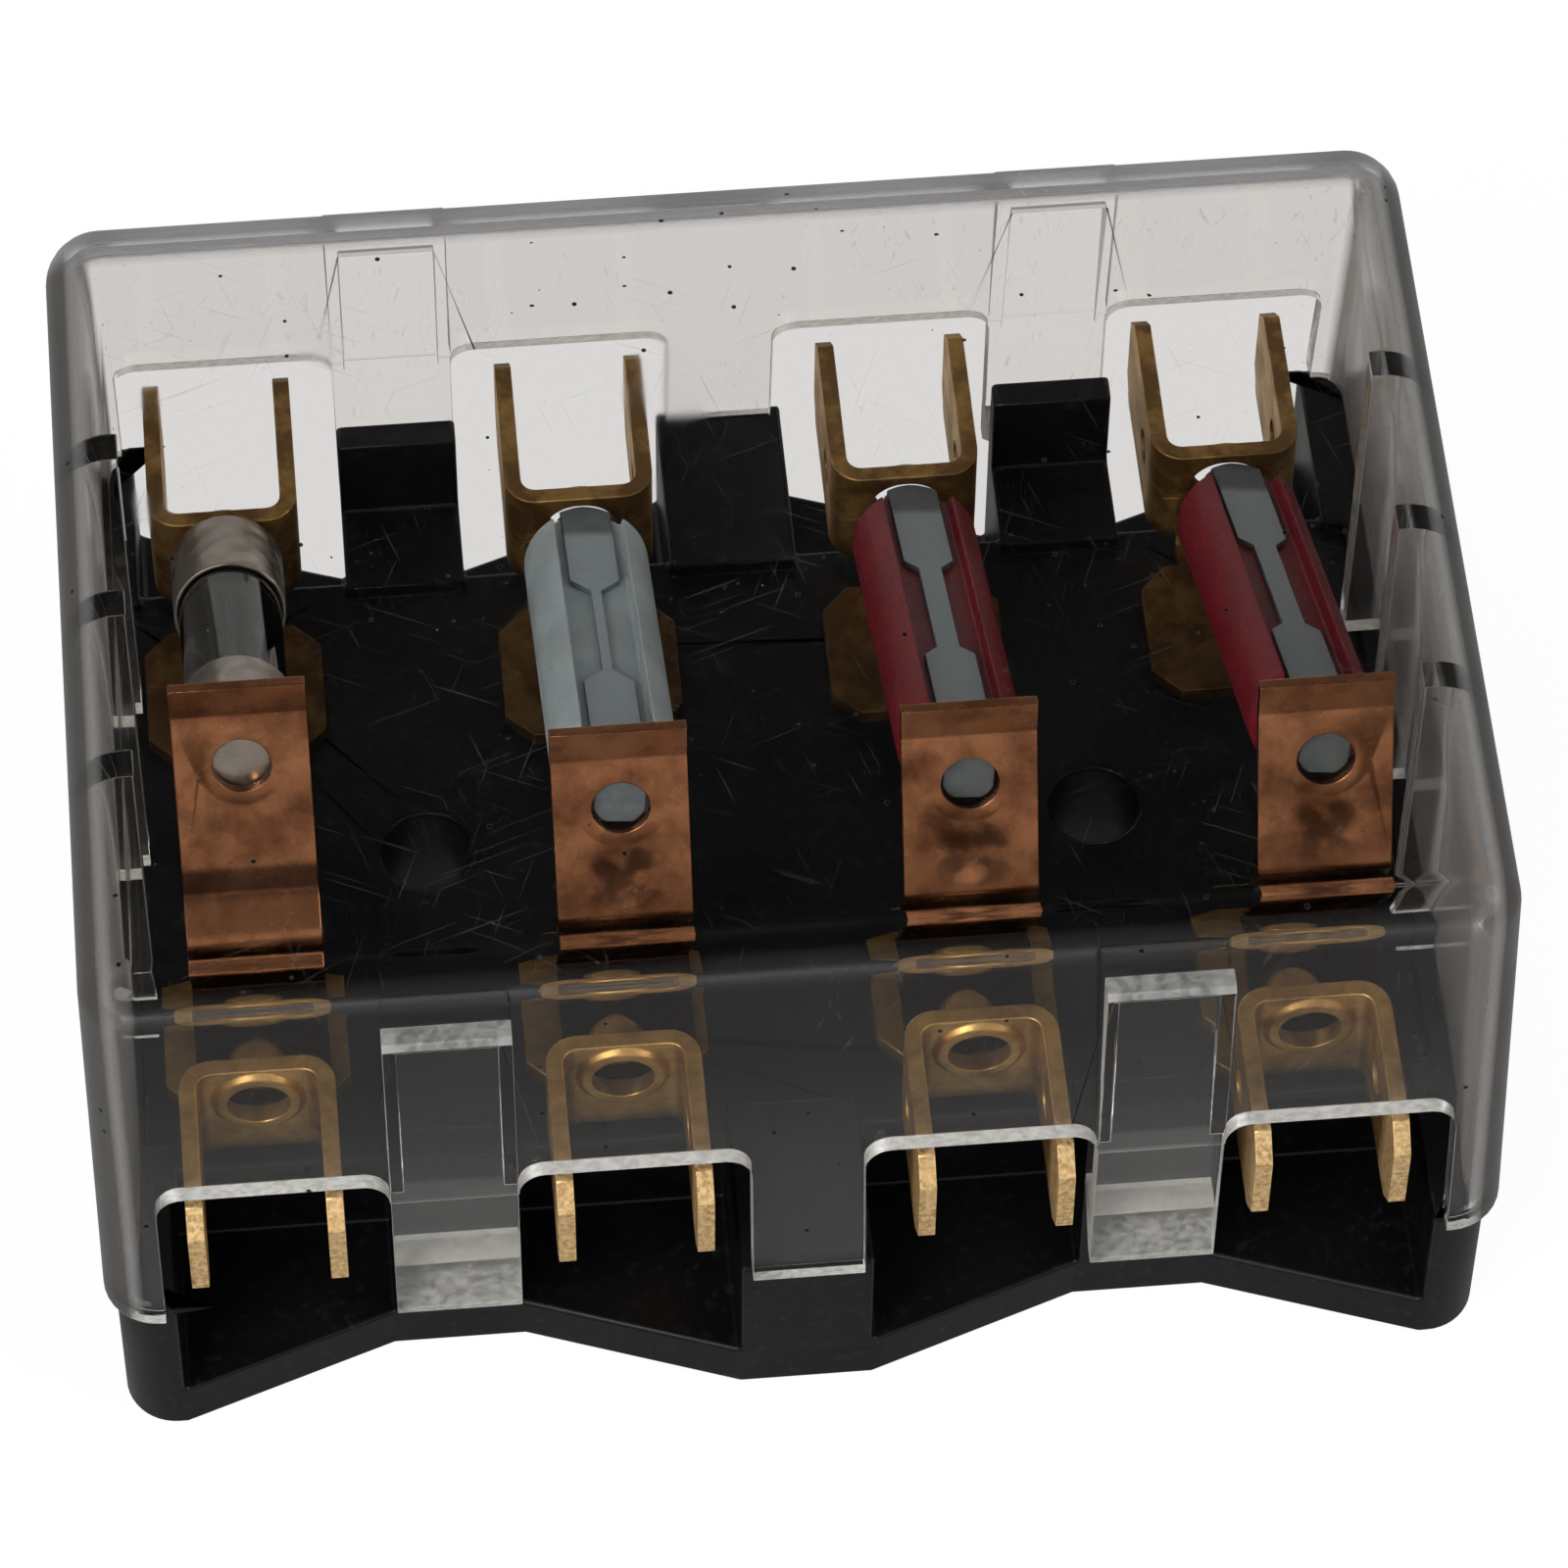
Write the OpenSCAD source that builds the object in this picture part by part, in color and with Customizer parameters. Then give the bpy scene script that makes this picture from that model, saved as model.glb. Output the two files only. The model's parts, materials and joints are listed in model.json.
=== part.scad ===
// Four-way fuse box for torpedo fuses, with a clear clip-on cover.
// X runs along the row of ways, Y from front to rear, Z up.
// The origin is under the middle of the base, on the surface that it stands on.

/* [Base] */
// Length of the base along the row of ways
base_w = 64; // [60:0.1:70]
// Depth of the base at its corners and its middle
base_d = 50; // [46:0.1:54]
// Depth of the base between the recesses for the latches
recess_d = 43; // [40:0.1:44]
// Height of the posts that the cover's rim stands on
base_h = 10; // [8:0.1:13]
// Thickness of the floor under the cable bays
floor_t = 2.8; // [1.5:0.1:4]
// Height of the deck that carries the terminals
deck_h = 9.2; // [7:0.1:9.5]
// Depth of the deck from front to rear
deck_d = 32.6; // [32:0.1:37]
// Thickness of the deck over the hollows underneath
deck_t = 2.6; // [1.6:0.1:4]
// Width of the corner posts
corner_post_w = 2.8; // [2:0.1:3.4]
// Width of the posts in the middle of the long sides
middle_post_w = 6.2; // [4:0.1:7]
// Thickness of the short side walls at the top
side_wall_t = 1.8; // [1.2:0.1:2]
// Radius of the base's upright corners
base_corner_r = 2.4; // [1:0.1:3]
// Height of the latch tongues above the posts
tongue_rise = 5; // [3:0.1:7]
// Thickness of the latch tongues
tongue_t = 1.4; // [1:0.1:2]
// Width of the hollow under each way
hollow_w = 10.6; // [8:0.1:11]
// Depth of the hollows from front to rear
hollow_d = 29.6; // [26:0.1:31]

/* [Screw holes] */
// Distance between the two screw holes
screw_pitch = 32.2; // [31:0.1:33]
// Diameter of the screw holes
screw_hole_d = 4.3; // [3.2:0.1:4.5]
// Diameter of the bosses round the screw holes
screw_boss_d = 8.6; // [7:0.1:10]

/* [Cover] */
// Length of the cover across its top
cover_w = 64.6; // [62:0.1:70]
// Depth of the cover across its top
cover_d = 45.4; // [43:0.1:48]
// Length of the cover across its rim
rim_w = 65; // [62:0.1:71]
// Depth of the cover across its rim
rim_d = 51.2; // [49:0.1:55]
// Height of the cover above its rim
cover_h = 22; // [20:0.1:26]
// Thickness of the cover's walls
cover_t = 1.3; // [1:0.1:1.6]
// Radius of the cover's edges and upright corners
cover_edge_r = 2.6; // [1.8:0.1:3]
// Width of a cable cutout
cutout_w = 10.6; // [9:0.1:11]
// Height of a cable cutout above the rim
cutout_h = 8.4; // [7.5:0.1:10]
// Radius of a cutout's upper corners
cutout_r = 1.2; // [0.5:0.1:2]
// Width of a side rib
rib_w = 1.4; // [0.8:0.1:2]
// How far a side rib stands in from the wall
rib_d = 1.9; // [1:0.1:2]
// Distance between the side ribs
rib_pitch = 9; // [6:0.1:12]

/* [Latches] */
// Width of a latch
latch_w = 5.8; // [4:0.1:5.9]
// Thickness of a latch
latch_t = 1.2; // [0.9:0.1:1.4]
// Height of a latch's shoulder above the rim
latch_top = 19.1; // [15:0.1:20]
// How far a latch's shoulder stands out from the wall
latch_stand = 0.95; // [0.6:0.05:1.1]
// How far a latch hangs below the rim
latch_drop = 2.4; // [1:0.1:5]
// Height of the barb's ledge above the rim
barb_top = 0.9; // [0:0.1:2]
// Height of the barb's upright face
barb_h = 0.7; // [0.4:0.1:1]
// Gap between a barb and the base, where the real latch springs past
latch_gap = 0.12; // [0.08:0.01:0.3]

/* [Ways] */
// Distance between the two ways on each side
way_pitch = 16.5; // [16:0.1:17]
// Distance between the two middle ways
middle_pitch = 15.8; // [15.4:0.1:17]
// How far each rear terminal sits off its way's centre
rear_play = [-0.4, 0.4, 0.5, -0.3]; // [-0.6:0.1:0.6]
// How far each front terminal sits off its way's centre
front_play = [-0.4, 0, 0.8, -0.2]; // [-0.6:0.1:0.9]
// How far each contact spring sits off its way's centre
spring_play = [-0.1, 0.6, 0.9, 0.9]; // [-0.6:0.1:1]

/* [Terminals] */
// Thickness of the brass
brass_t = 0.8; // [0.6:0.1:1]
// Height of a blade
blade_h = 6.3; // [4.8:0.1:6.8]
// Length of a blade from the web to its tip
blade_l = 9.2; // [7:0.1:10]
// Distance between a terminal's two blades
blade_pitch = 6.4; // [6:0.1:7.2]
// Chamfer at a blade's tip
blade_chamfer = 1.15; // [0.5:0.05:1.6]
// Diameter of the detent hole in a blade
detent_d = 1.7; // [1:0.1:2.2]
// Distance from the detent hole to the web
detent_offset = 3; // [2.4:0.1:4]
// Distance of the webs from the middle of the box
web_y = 15.4; // [14.8:0.1:15.8]
// Diameter of the web's seat hole on the fuse's side
web_hole_d = 3.5; // [3.2:0.1:3.8]
// Diameter of the web's seat hole on the blades' side
web_hole_out_d = 2.9; // [2.6:0.1:3.2]
// Diameter of the rim pressed up round a seat hole
seat_rim_d = 4.4; // [4:0.1:4.6]
// Height of the rim pressed up round a seat hole
seat_rim_h = 0.3; // [0.1:0.05:0.4]
// Distance from the web's top edge to its seat hole
web_hole_drop = 2.3; // [2:0.1:2.8]
// Width of the foot plate
foot_w = 8.6; // [7:0.1:9]
// Length of the foot plate
foot_l = 7.6; // [6.6:0.1:8]
// Distance of the foot plate's inner edge from the middle of the box
foot_y = 5.8; // [5:0.1:6.2]
// Chamfer on the foot plate's corners
foot_chamfer = 1.3; // [0.5:0.1:2]
// Width of the neck between foot plate and web
neck_w = 4.6; // [3:0.1:5]

/* [Contact springs] */
// Thickness of the copper strip
copper_t = 0.5; // [0.3:0.05:0.6]
// Width of the copper strip
copper_w = 6.3; // [5:0.1:7]
// Diameter of the seat hole in a spring
spring_hole_d = 2.7; // [2.5:0.05:2.9]
// Height of the rim pressed up round a spring's seat hole
spring_rim_h = 0.12; // [0.06:0.02:0.3]
// Distance of a spring's leg from the middle of the box
leg_y = 7.6; // [7:0.1:8]
// Length of a spring's foot
spring_foot_l = 5.8; // [5.4:0.1:6.2]
// Height of the short fuse's nose above the deck
nose_rise = 7.2; // [6.4:0.1:7.8]
// Distance of the short fuse's nose from the middle of the box
nose_y = 9.6; // [9.2:0.1:10.2]
// Length of the face from its seat hole down to the leg
face_drop = 6.1; // [5.6:0.1:6.6]
// Length of the short fuse's face from its seat hole down to the shelf
short_face_drop = 6.8; // [6.2:0.1:7.2]
// Length of the face from its seat hole up to the lip
face_rise = 2.6; // [2.2:0.1:3]
// Length of the lip
lip_l = 1.9; // [1.6:0.1:3]
// Lean of the lip from upright in degrees
lip_lean = 5.7; // [0:0.1:12]
// Bend radius of the strip
spring_bend_r = 0.8; // [0.6:0.05:0.9]

/* [Torpedo fuses] */
// Length of a torpedo fuse over its contact tips
torpedo_l = 25; // [24:0.1:25.5]
// Diameter of a torpedo fuse
torpedo_d = 6; // [5.6:0.1:6.2]
// Length of a tapered end
taper_l = 2.8; // [2.4:0.1:3.2]
// Diameter of a tapered end at its tip
tip_d = 2.2; // [2:0.1:2.3]
// Slope of a torpedo fuse in degrees
torpedo_tilt = 23; // [20:0.1:25]
// Width of the channel along the body
channel_w = 3.3; // [2.7:0.1:3.6]
// Height of the channel's floor above the axis
channel_floor = 1.5; // [1.3:0.1:2.2]
// Thickness of the fuse element
element_t = 0.3; // [0.2:0.05:0.4]
// Width of the element's ends
element_w = 2.4; // [1.8:0.1:2.6]
// Width of the middle of each torpedo fuse's element
element_neck_w = [0.5, 1.1, 1.1]; // [0.3:0.1:1.6]
// Length of the element's narrow middle
element_neck_l = 7.4; // [5:0.1:10]
// How far each torpedo fuse is rolled about its axis in degrees
torpedo_roll = [-5, -5, -9]; // [-15:1:15]

/* [Glass fuse] */
// Length of the glass fuse
glass_l = 20; // [19:0.1:21]
// Outer diameter of the glass tube
glass_d = 4.9; // [4.4:0.1:5]
// Wall of the glass tube
glass_t = 0.6; // [0.4:0.05:0.8]
// Length of a metal cap
cap_l = 5.2; // [4:0.1:6]
// Wall of a metal cap
cap_t = 0.2; // [0.15:0.05:0.3]
// Diameter of the fuse wire
wire_d = 0.3; // [0.2:0.05:0.5]
// Slope of the glass fuse in degrees
glass_tilt = 26.6; // [24:0.1:28]

/* [Rivets] */
// Diameter of a rivet's shank
rivet_d = 2; // [1.4:0.1:2.2]
// Diameter of a rivet's head
rivet_head_d = 2.8; // [2.4:0.1:3]
// Height of a rivet's head
rivet_head_h = 0.7; // [0.4:0.1:1]
// Distance of the rivets from the middle of the box
rivet_y = 11.6; // [11.5:0.1:11.8]

/* [Hidden] */
$fn = 48;

// Clearances: round a shank or a cap, and where a fuse's end meets its seat
bore_gap = 0.05;
seat_gap = 0.1;
// Overshoot of a cut past the face that it opens
cut = 1;
// Thinnest slice of a form that is drawn as a hull
slice = 0.01;
bend_steps = 6;

// Ways, from left to right
way_x = [-middle_pitch / 2 - way_pitch, -middle_pitch / 2, middle_pitch / 2, middle_pitch / 2 + way_pitch];
rear_x = way_x + rear_play;
front_x = way_x + front_play;
spring_x = way_x + spring_play;
latch_x = (middle_pitch + way_pitch) / 2;

// Base
post_y = deck_d / 2;
latch_post_w = latch_w;
recess_side_gap = 0.2;
tongue_top = base_h + tongue_rise;

// Cover: the rim stands on the posts
rim_z = base_h;
cover_top = rim_z + cover_h;
wall_slope = (rim_d - cover_d) / 2 / cover_h;
barb_y = recess_d / 2 + latch_gap;
latch_foot_y = rim_d / 2 - wall_slope * cutout_h;
latch_shoulder_y = rim_d / 2 - wall_slope * latch_top + latch_stand;
latch_chamfer = 0.3;
latch_tip_t = 0.7;
latch_side_t = 0.6;
rib_foot = 0.5;

// Terminals stand on the deck
plate_top = deck_h + brass_t;
blade_lift = 0.1;
blade_z = plate_top + blade_lift;
blade_top = blade_z + blade_h;
blade_tip_y = web_y + blade_l;
brass_bend_r = 1.1;
seat_y = web_y - brass_t / 2;
seat_z = blade_top - web_hole_drop;
seat_rim_taper = 0.5;
web_hole_l = brass_t + seat_rim_h;
web_hole_slope = (web_hole_d - web_hole_out_d) / web_hole_l;

// Springs stand on the front terminals' plates
spring_foot_z = plate_top + copper_t / 2;
nose_z = deck_h + nose_rise;

// Torpedo fuses: stations along the axis, counted from the middle
body_end = torpedo_l / 2 - element_t;
taper_start = body_end - taper_l;
taper_slope = (torpedo_d - tip_d) / 2 / taper_l;
skin = element_t * sqrt(1 + taper_slope * taper_slope);
function taper_station(r) = taper_start + (torpedo_d / 2 + skin - r) / taper_slope;
web_hole_r = web_hole_d / 2;
rear_station = taper_station(web_hole_r * cos(torpedo_tilt)) + web_hole_r * sin(torpedo_tilt) + seat_gap;
front_station = taper_station(spring_hole_d / 2) + seat_gap;
torpedo_seat_l = rear_station + front_station;

// Glass fuse: a cap's rim meets the web first, because the fuse slopes
cap_d = glass_d + 2 * bore_gap + 2 * cap_t;
rear_cap_gap = cap_d / 2 * tan(glass_tilt) + seat_gap;
glass_seat_l = rear_cap_gap + glass_l + seat_gap;

// Plane geometry for bent strips

function unit(v) = v / norm(v);
function left_of(v) = [-v[1], v[0]];
function turned(v, a) = [v[0] * cos(a) - v[1] * sin(a), v[0] * sin(a) + v[1] * cos(a)];
function reversed(list) = [for (i = [len(list) - 1:-1:0]) list[i]];

// Arc of radius r in the corner at b, on the way from a to c
function corner_arc(a, b, c, r) =
    let (u = unit(b - a), v = unit(c - b))
    let (side = sign(u[0] * v[1] - u[1] * v[0]), angle = acos(u * v))
    let (start = b - u * r * tan(angle / 2), centre = start + left_of(u) * r * side)
    [for (k = [0:bend_steps]) centre + turned(start - centre, side * angle * k / bend_steps)];

// A path with each corner bent to radius r
function bent(path, r) = [
    path[0],
    for (i = [1:len(path) - 2]) each corner_arc(path[i - 1], path[i], path[i + 1], r),
    path[len(path) - 1]];

// The sideways step at point i that keeps a line at distance d from the path
function side_step(path, i, d) =
    let (u = unit(path[i] - path[max(i - 1, 0)] + (i == 0 ? path[1] - path[0] : [0, 0])))
    let (v = i == len(path) - 1 ? u : unit(path[i + 1] - path[i]))
    let (n = unit(left_of(u) + left_of(v)))
    n * d / (n * left_of(u));

// Outline of a strip of thickness t along a path
function strip(path, t) = concat(
    [for (i = [0:len(path) - 1]) path[i] + side_step(path, i, t / 2)],
    reversed([for (i = [0:len(path) - 1]) path[i] - side_step(path, i, t / 2)]));

// A profile drawn in Y and Z, extruded along X about the middle
module along_x(w) {
    rotate([90, 0, 90])
        linear_extrude(w, center = true)
            children();
}

module mirrored_x() {
    children();
    mirror([1, 0, 0]) children();
}

module mirrored_y() {
    children();
    mirror([0, 1, 0]) children();
}

// A hole for a rivet through a thickness t, drawn from one overshoot below it
module rivet_hole(t) {
    cylinder(h = t + 2 * cut, d = rivet_d + 2 * bore_gap);
}

module rounded_rectangle(w, d, r) {
    square([w - 2 * r, d], center = true);
    square([w, d - 2 * r], center = true);
    for (x = [-1, 1], y = [-1, 1])
        translate([x * (w / 2 - r), y * (d / 2 - r)]) circle(r);
}

// Base

// Half of the outline's zigzag edge, from the middle to the corner
half_edge = [
    [middle_post_w / 2, base_d / 2],
    [latch_x - latch_w / 2 - recess_side_gap, recess_d / 2],
    [latch_x + latch_w / 2 + recess_side_gap, recess_d / 2],
    [base_w / 2 - corner_post_w, base_d / 2],
    [base_w / 2, base_d / 2]];

module base_outline() {
    quarter = concat([[0, 0], [0, base_d / 2]], half_edge, [[base_w / 2, 0]]);
    intersection() {
        rounded_rectangle(base_w, base_d, base_corner_r);
        mirrored_x() mirrored_y() polygon(quarter);
    }
}

// Plan of the walls and posts that reach up to the rim
module post_plan() {
    intersection() {
        base_outline();
        union() {
            mirrored_x() {
                translate([base_w / 2 - side_wall_t, -base_d / 2]) square([side_wall_t, base_d]);
                mirrored_y() {
                    translate([base_w / 2 - corner_post_w, post_y - cut])
                        square([corner_post_w, base_d / 2]);
                    translate([latch_x - latch_post_w / 2, post_y - cut])
                        square([latch_post_w, base_d / 2]);
                }
            }
            mirrored_y() translate([-middle_post_w / 2, post_y - cut]) square([middle_post_w, base_d / 2]);
        }
    }
}

module latch_tongues() {
    mirrored_x() mirrored_y()
        translate([latch_x - latch_post_w / 2, recess_d / 2 - tongue_t, deck_h])
            cube([latch_post_w, tongue_t, tongue_top - deck_h]);
}

module deck_hollows() {
    for (x = way_x)
        translate([x - hollow_w / 2, -hollow_d / 2, -cut])
            cube([hollow_w, hollow_d, deck_h - deck_t + cut]);
}

module rivet_holes() {
    for (i = [0:3]) {
        translate([rear_x[i], rivet_y, deck_h - deck_t - cut]) rivet_hole(deck_t);
        translate([front_x[i], -rivet_y, deck_h - deck_t - cut]) rivet_hole(deck_t);
    }
}

module base() {
    color("#1b1c1e")
    difference() {
        union() {
            difference() {
                union() {
                    linear_extrude(floor_t) base_outline();
                    linear_extrude(deck_h) intersection() {
                        base_outline();
                        square([base_w, deck_d], center = true);
                    }
                    linear_extrude(base_h) post_plan();
                    latch_tongues();
                }
                deck_hollows();
            }
            mirrored_x() translate([screw_pitch / 2, 0, 0]) cylinder(h = deck_h, d = screw_boss_d);
        }
        mirrored_x() translate([screw_pitch / 2, 0, -cut]) cylinder(h = deck_h + 2 * cut, d = screw_hole_d);
        rivet_holes();
    }
}

// Cover

// A block with rounded top edges and upright corners, set in by inset from the outer faces
module cover_block(inset) {
    r = cover_edge_r - inset;
    ball_z = cover_top - cover_edge_r;
    hull()
        for (x = [-1, 1], y = [-1, 1]) {
            translate([x * (rim_w / 2 - cover_edge_r), y * (rim_d / 2 - cover_edge_r), rim_z])
                cylinder(h = slice, r = r, $fn = 32);
            translate([x * (cover_w / 2 - cover_edge_r), y * (cover_d / 2 - cover_edge_r), ball_z])
                sphere(r, $fn = 32);
        }
}

// Front view of one cutout, open at the rim
module cutout_shape(w) {
    translate([-w / 2, -cut]) square([w, cutout_h + cut - cutout_r]);
    translate([-w / 2 + cutout_r, 0]) square([w - 2 * cutout_r, cutout_h]);
    for (x = [-1, 1])
        translate([x * (w / 2 - cutout_r), cutout_h - cutout_r]) circle(cutout_r);
}

module cable_cutouts() {
    translate([0, rim_d, rim_z])
        rotate([90, 0, 0])
            linear_extrude(2 * rim_d) {
                for (x = way_x) translate([x, 0]) cutout_shape(cutout_w);
                for (x = [-latch_x, latch_x])
                    translate([x - way_pitch / 2, -cut]) square([way_pitch, cutout_h - cutout_r + cut]);
            }
}

// Side view of a rear latch: a tongue that hangs past the rim, with a barb on its inner face
latch_profile = [
    [latch_shoulder_y - latch_t, rim_z + latch_top],
    [latch_shoulder_y - latch_chamfer, rim_z + latch_top],
    [latch_shoulder_y, rim_z + latch_top - latch_chamfer],
    [latch_foot_y, rim_z + cutout_h],
    [latch_foot_y, rim_z - latch_drop],
    [latch_foot_y - latch_tip_t, rim_z - latch_drop],
    [barb_y, rim_z + barb_top - barb_h],
    [barb_y, rim_z + barb_top],
    [latch_foot_y - latch_t, rim_z + barb_top],
    [latch_foot_y - latch_t, rim_z + cutout_h]];

module cover_latches() {
    mirrored_x() mirrored_y()
        translate([latch_x, 0, 0]) along_x(latch_w) polygon(latch_profile);
}

// The hollow behind each latch, which keeps the wall as thin there as elsewhere
latch_hollow = [
    [latch_foot_y - latch_t, rim_z + cutout_h - cutout_r - cut],
    [latch_foot_y - latch_t, rim_z + cutout_h],
    [latch_shoulder_y - latch_t, rim_z + latch_top - latch_t],
    [latch_shoulder_y - latch_t - cover_t, rim_z + latch_top - latch_t],
    [latch_foot_y - latch_t - cover_t, rim_z + cutout_h - cutout_r - cut]];

module latch_hollows() {
    mirrored_x() mirrored_y()
        translate([latch_x, 0, 0]) along_x(latch_w - 2 * latch_side_t) polygon(latch_hollow);
}

module side_ribs() {
    rib_x = rim_w / 2 - cover_t - rib_d;
    intersection() {
        cover_block(cover_t / 2);
        mirrored_x()
            for (y = [-rib_pitch, 0, rib_pitch])
                translate([rib_x, y - rib_w / 2, rim_z + rib_foot])
                    cube([rib_d + cover_t, rib_w, cover_h]);
    }
}

module cover() {
    color("#d9dde0", 0.35)
    union() {
        difference() {
            cover_block(0);
            translate([0, 0, -slice]) cover_block(cover_t);
            cable_cutouts();
            latch_hollows();
        }
        cover_latches();
        side_ribs();
    }
}

// The rim of height h pressed up round a seat hole in metal of thickness t, drawn along Z from its face
module seat_rim(t, h) {
    rotate_extrude()
        polygon([
            [0, -t / 2], [seat_rim_d / 2, -t / 2], [seat_rim_d / 2, 0],
            [(seat_rim_d - seat_rim_taper) / 2, h], [0, h]]);
}

// Terminals, drawn as the rear ones at the middle of the box

module blade_pair() {
    u_path = bent([
        [-blade_pitch / 2, blade_tip_y],
        [-blade_pitch / 2, web_y],
        [blade_pitch / 2, web_y],
        [blade_pitch / 2, blade_tip_y]], brass_bend_r);
    side_view = [
        [seat_y, blade_z],
        [blade_tip_y - blade_chamfer, blade_z],
        [blade_tip_y, blade_z + blade_chamfer],
        [blade_tip_y, blade_top - blade_chamfer],
        [blade_tip_y - blade_chamfer, blade_top],
        [seat_y, blade_top]];
    intersection() {
        translate([0, 0, blade_z]) linear_extrude(blade_h) polygon(strip(u_path, brass_t));
        along_x(2 * blade_pitch) polygon(side_view);
    }
}

module foot_plate() {
    x = foot_w / 2;
    c = foot_chamfer;
    end = foot_y + foot_l;
    translate([0, 0, deck_h])
        linear_extrude(brass_t)
            polygon([
                [-x + c, foot_y], [x - c, foot_y], [x, foot_y + c], [x, end - c],
                [x - c, end], [-x + c, end], [-x, end - c], [-x, foot_y + c]]);
}

module neck() {
    mid_z = deck_h + brass_t / 2;
    path = bent([[foot_y + foot_l / 2, mid_z], [web_y, mid_z], [web_y, blade_z + blade_h / 2]], brass_bend_r);
    along_x(neck_w) polygon(strip(path, brass_t));
}

module terminal() {
    color("#b08a45")
    difference() {
        union() {
            blade_pair();
            foot_plate();
            neck();
            translate([0, web_y + brass_t / 2, seat_z]) rotate([-90, 0, 0]) seat_rim(brass_t, seat_rim_h);
        }
        translate([0, seat_y - cut, seat_z])
            rotate([-90, 0, 0])
                cylinder(
                    h = web_hole_l + 2 * cut,
                    d1 = web_hole_d + web_hole_slope * cut,
                    d2 = web_hole_out_d - web_hole_slope * cut);
        translate([-blade_pitch, web_y + detent_offset, blade_z + blade_h / 2])
            rotate([0, 90, 0]) cylinder(h = 2 * blade_pitch, d = detent_d);
        translate([0, rivet_y, deck_h - cut]) rivet_hole(brass_t);
    }
}

module rear_terminal(i) {
    translate([rear_x[i], 0, 0]) terminal();
}

module front_terminal(i) {
    translate([front_x[i], 0, 0]) mirror([0, 1, 0]) terminal();
}

// Contact springs

// The seat on a spring's inner face, in Y and Z, for a fuse of the given seat length and slope
function spring_seat(seat_l, tilt) = [seat_y - seat_l * cos(tilt), seat_z + seat_l * sin(tilt)];

// A spring for way i; shelf lists the points of its path between leg and face
module contact_spring(i, seat_l, tilt, drop, shelf) {
    seat = spring_seat(seat_l, tilt);
    up = [sin(tilt), cos(tilt)];
    middle = seat + [-cos(tilt), sin(tilt)] * copper_t / 2;
    fold = middle + up * face_rise;
    path = concat(
        [[-leg_y - spring_foot_l, spring_foot_z], [-leg_y, spring_foot_z]],
        shelf,
        [middle - up * drop, fold, fold + [sin(lip_lean), cos(lip_lean)] * lip_l]);
    color("#b5713f")
    translate([spring_x[i], 0, 0])
        difference() {
            union() {
                along_x(copper_w) polygon(strip(bent(path, spring_bend_r), copper_t));
                translate([0, middle[0], middle[1]])
                    rotate([90 - tilt, 0, 0])
                        translate([0, 0, copper_t / 2]) seat_rim(copper_t, spring_rim_h);
            }
            translate([0, middle[0], middle[1]])
                rotate([90 - tilt, 0, 0]) cylinder(h = 4 * copper_t, d = spring_hole_d, center = true);
            translate([front_x[i] - spring_x[i], -rivet_y, plate_top - cut]) rivet_hole(copper_t);
        }
}

// Fuses, drawn along Z with the front end up, the channel or top side towards +Y

// Sets a fuse in way i, with its rear seat at the origin of the drawing
module in_way(i, seat_l, tilt) {
    swing = asin((spring_x[i] - rear_x[i]) / seat_l / cos(tilt));
    translate([rear_x[i], seat_y, seat_z])
        rotate([0, 0, swing])
            rotate([90 - tilt, 0, 0])
                children();
}

module torpedo_form(grow) {
    side = grow * sqrt(1 + taper_slope * taper_slope);
    top = body_end + grow;
    tip_r = tip_d / 2 + side - grow * taper_slope;
    rotate_extrude()
        polygon([
            [0, -top], [tip_r, -top], [torpedo_d / 2 + side, -taper_start],
            [torpedo_d / 2 + side, taper_start], [tip_r, top], [0, top]]);
}

// The ceramic body: the channel runs along its top between two ridges
module torpedo_shape() {
    difference() {
        torpedo_form(0);
        translate([-channel_w / 2, channel_floor, -torpedo_l])
            cube([channel_w, torpedo_d, 2 * torpedo_l]);
    }
}

// Sets a torpedo fuse, drawn about its middle, in way i
module torpedo_in_way(i) {
    in_way(i, torpedo_seat_l, torpedo_tilt)
        translate([0, 0, rear_station])
            rotate([0, 0, torpedo_roll[i - 1]])
                children();
}

module torpedo_body(i, tint) {
    color(tint)
    torpedo_in_way(i) torpedo_shape();
}

// Plan of the element: wide ends and a narrow middle with sloping shoulders
module element_plan(neck) {
    half = element_w / 2;
    slant = half - neck / 2;
    long = element_neck_l / 2;
    polygon([
        [-half, -torpedo_l], [half, -torpedo_l], [half, -long - slant], [neck / 2, -long],
        [neck / 2, long], [half, long + slant], [half, torpedo_l], [-half, torpedo_l],
        [-half, long + slant], [-neck / 2, long], [-neck / 2, -long], [-half, -long - slant]]);
}

module torpedo_element(i) {
    lift = element_t / 2;
    edge = taper_start + (torpedo_d / 2 - channel_floor) / taper_slope;
    path = [
        [-tip_d / 2, -body_end - lift], [tip_d / 2 + lift, -body_end - lift],
        [channel_floor + lift, -edge - lift], [channel_floor + lift, edge + lift],
        [tip_d / 2 + lift, body_end + lift], [-tip_d / 2, body_end + lift]];
    color("#8f9698")
    torpedo_in_way(i)
        difference() {
            intersection() {
                along_x(element_w) polygon(strip(path, element_t));
                rotate([90, 0, 0])
                    linear_extrude(2 * torpedo_d, center = true) element_plan(element_neck_w[i - 1]);
                torpedo_form(element_t);
            }
            torpedo_shape();
        }
}

module glass_tube() {
    color("#c9d0d2", 0.4)
    in_way(0, glass_seat_l, glass_tilt)
        translate([0, 0, rear_cap_gap + cap_t])
            difference() {
                cylinder(h = glass_l - 2 * cap_t, d = glass_d);
                translate([0, 0, -cut]) cylinder(h = glass_l + 2 * cut, d = glass_d - 2 * glass_t);
            }
}

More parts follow.
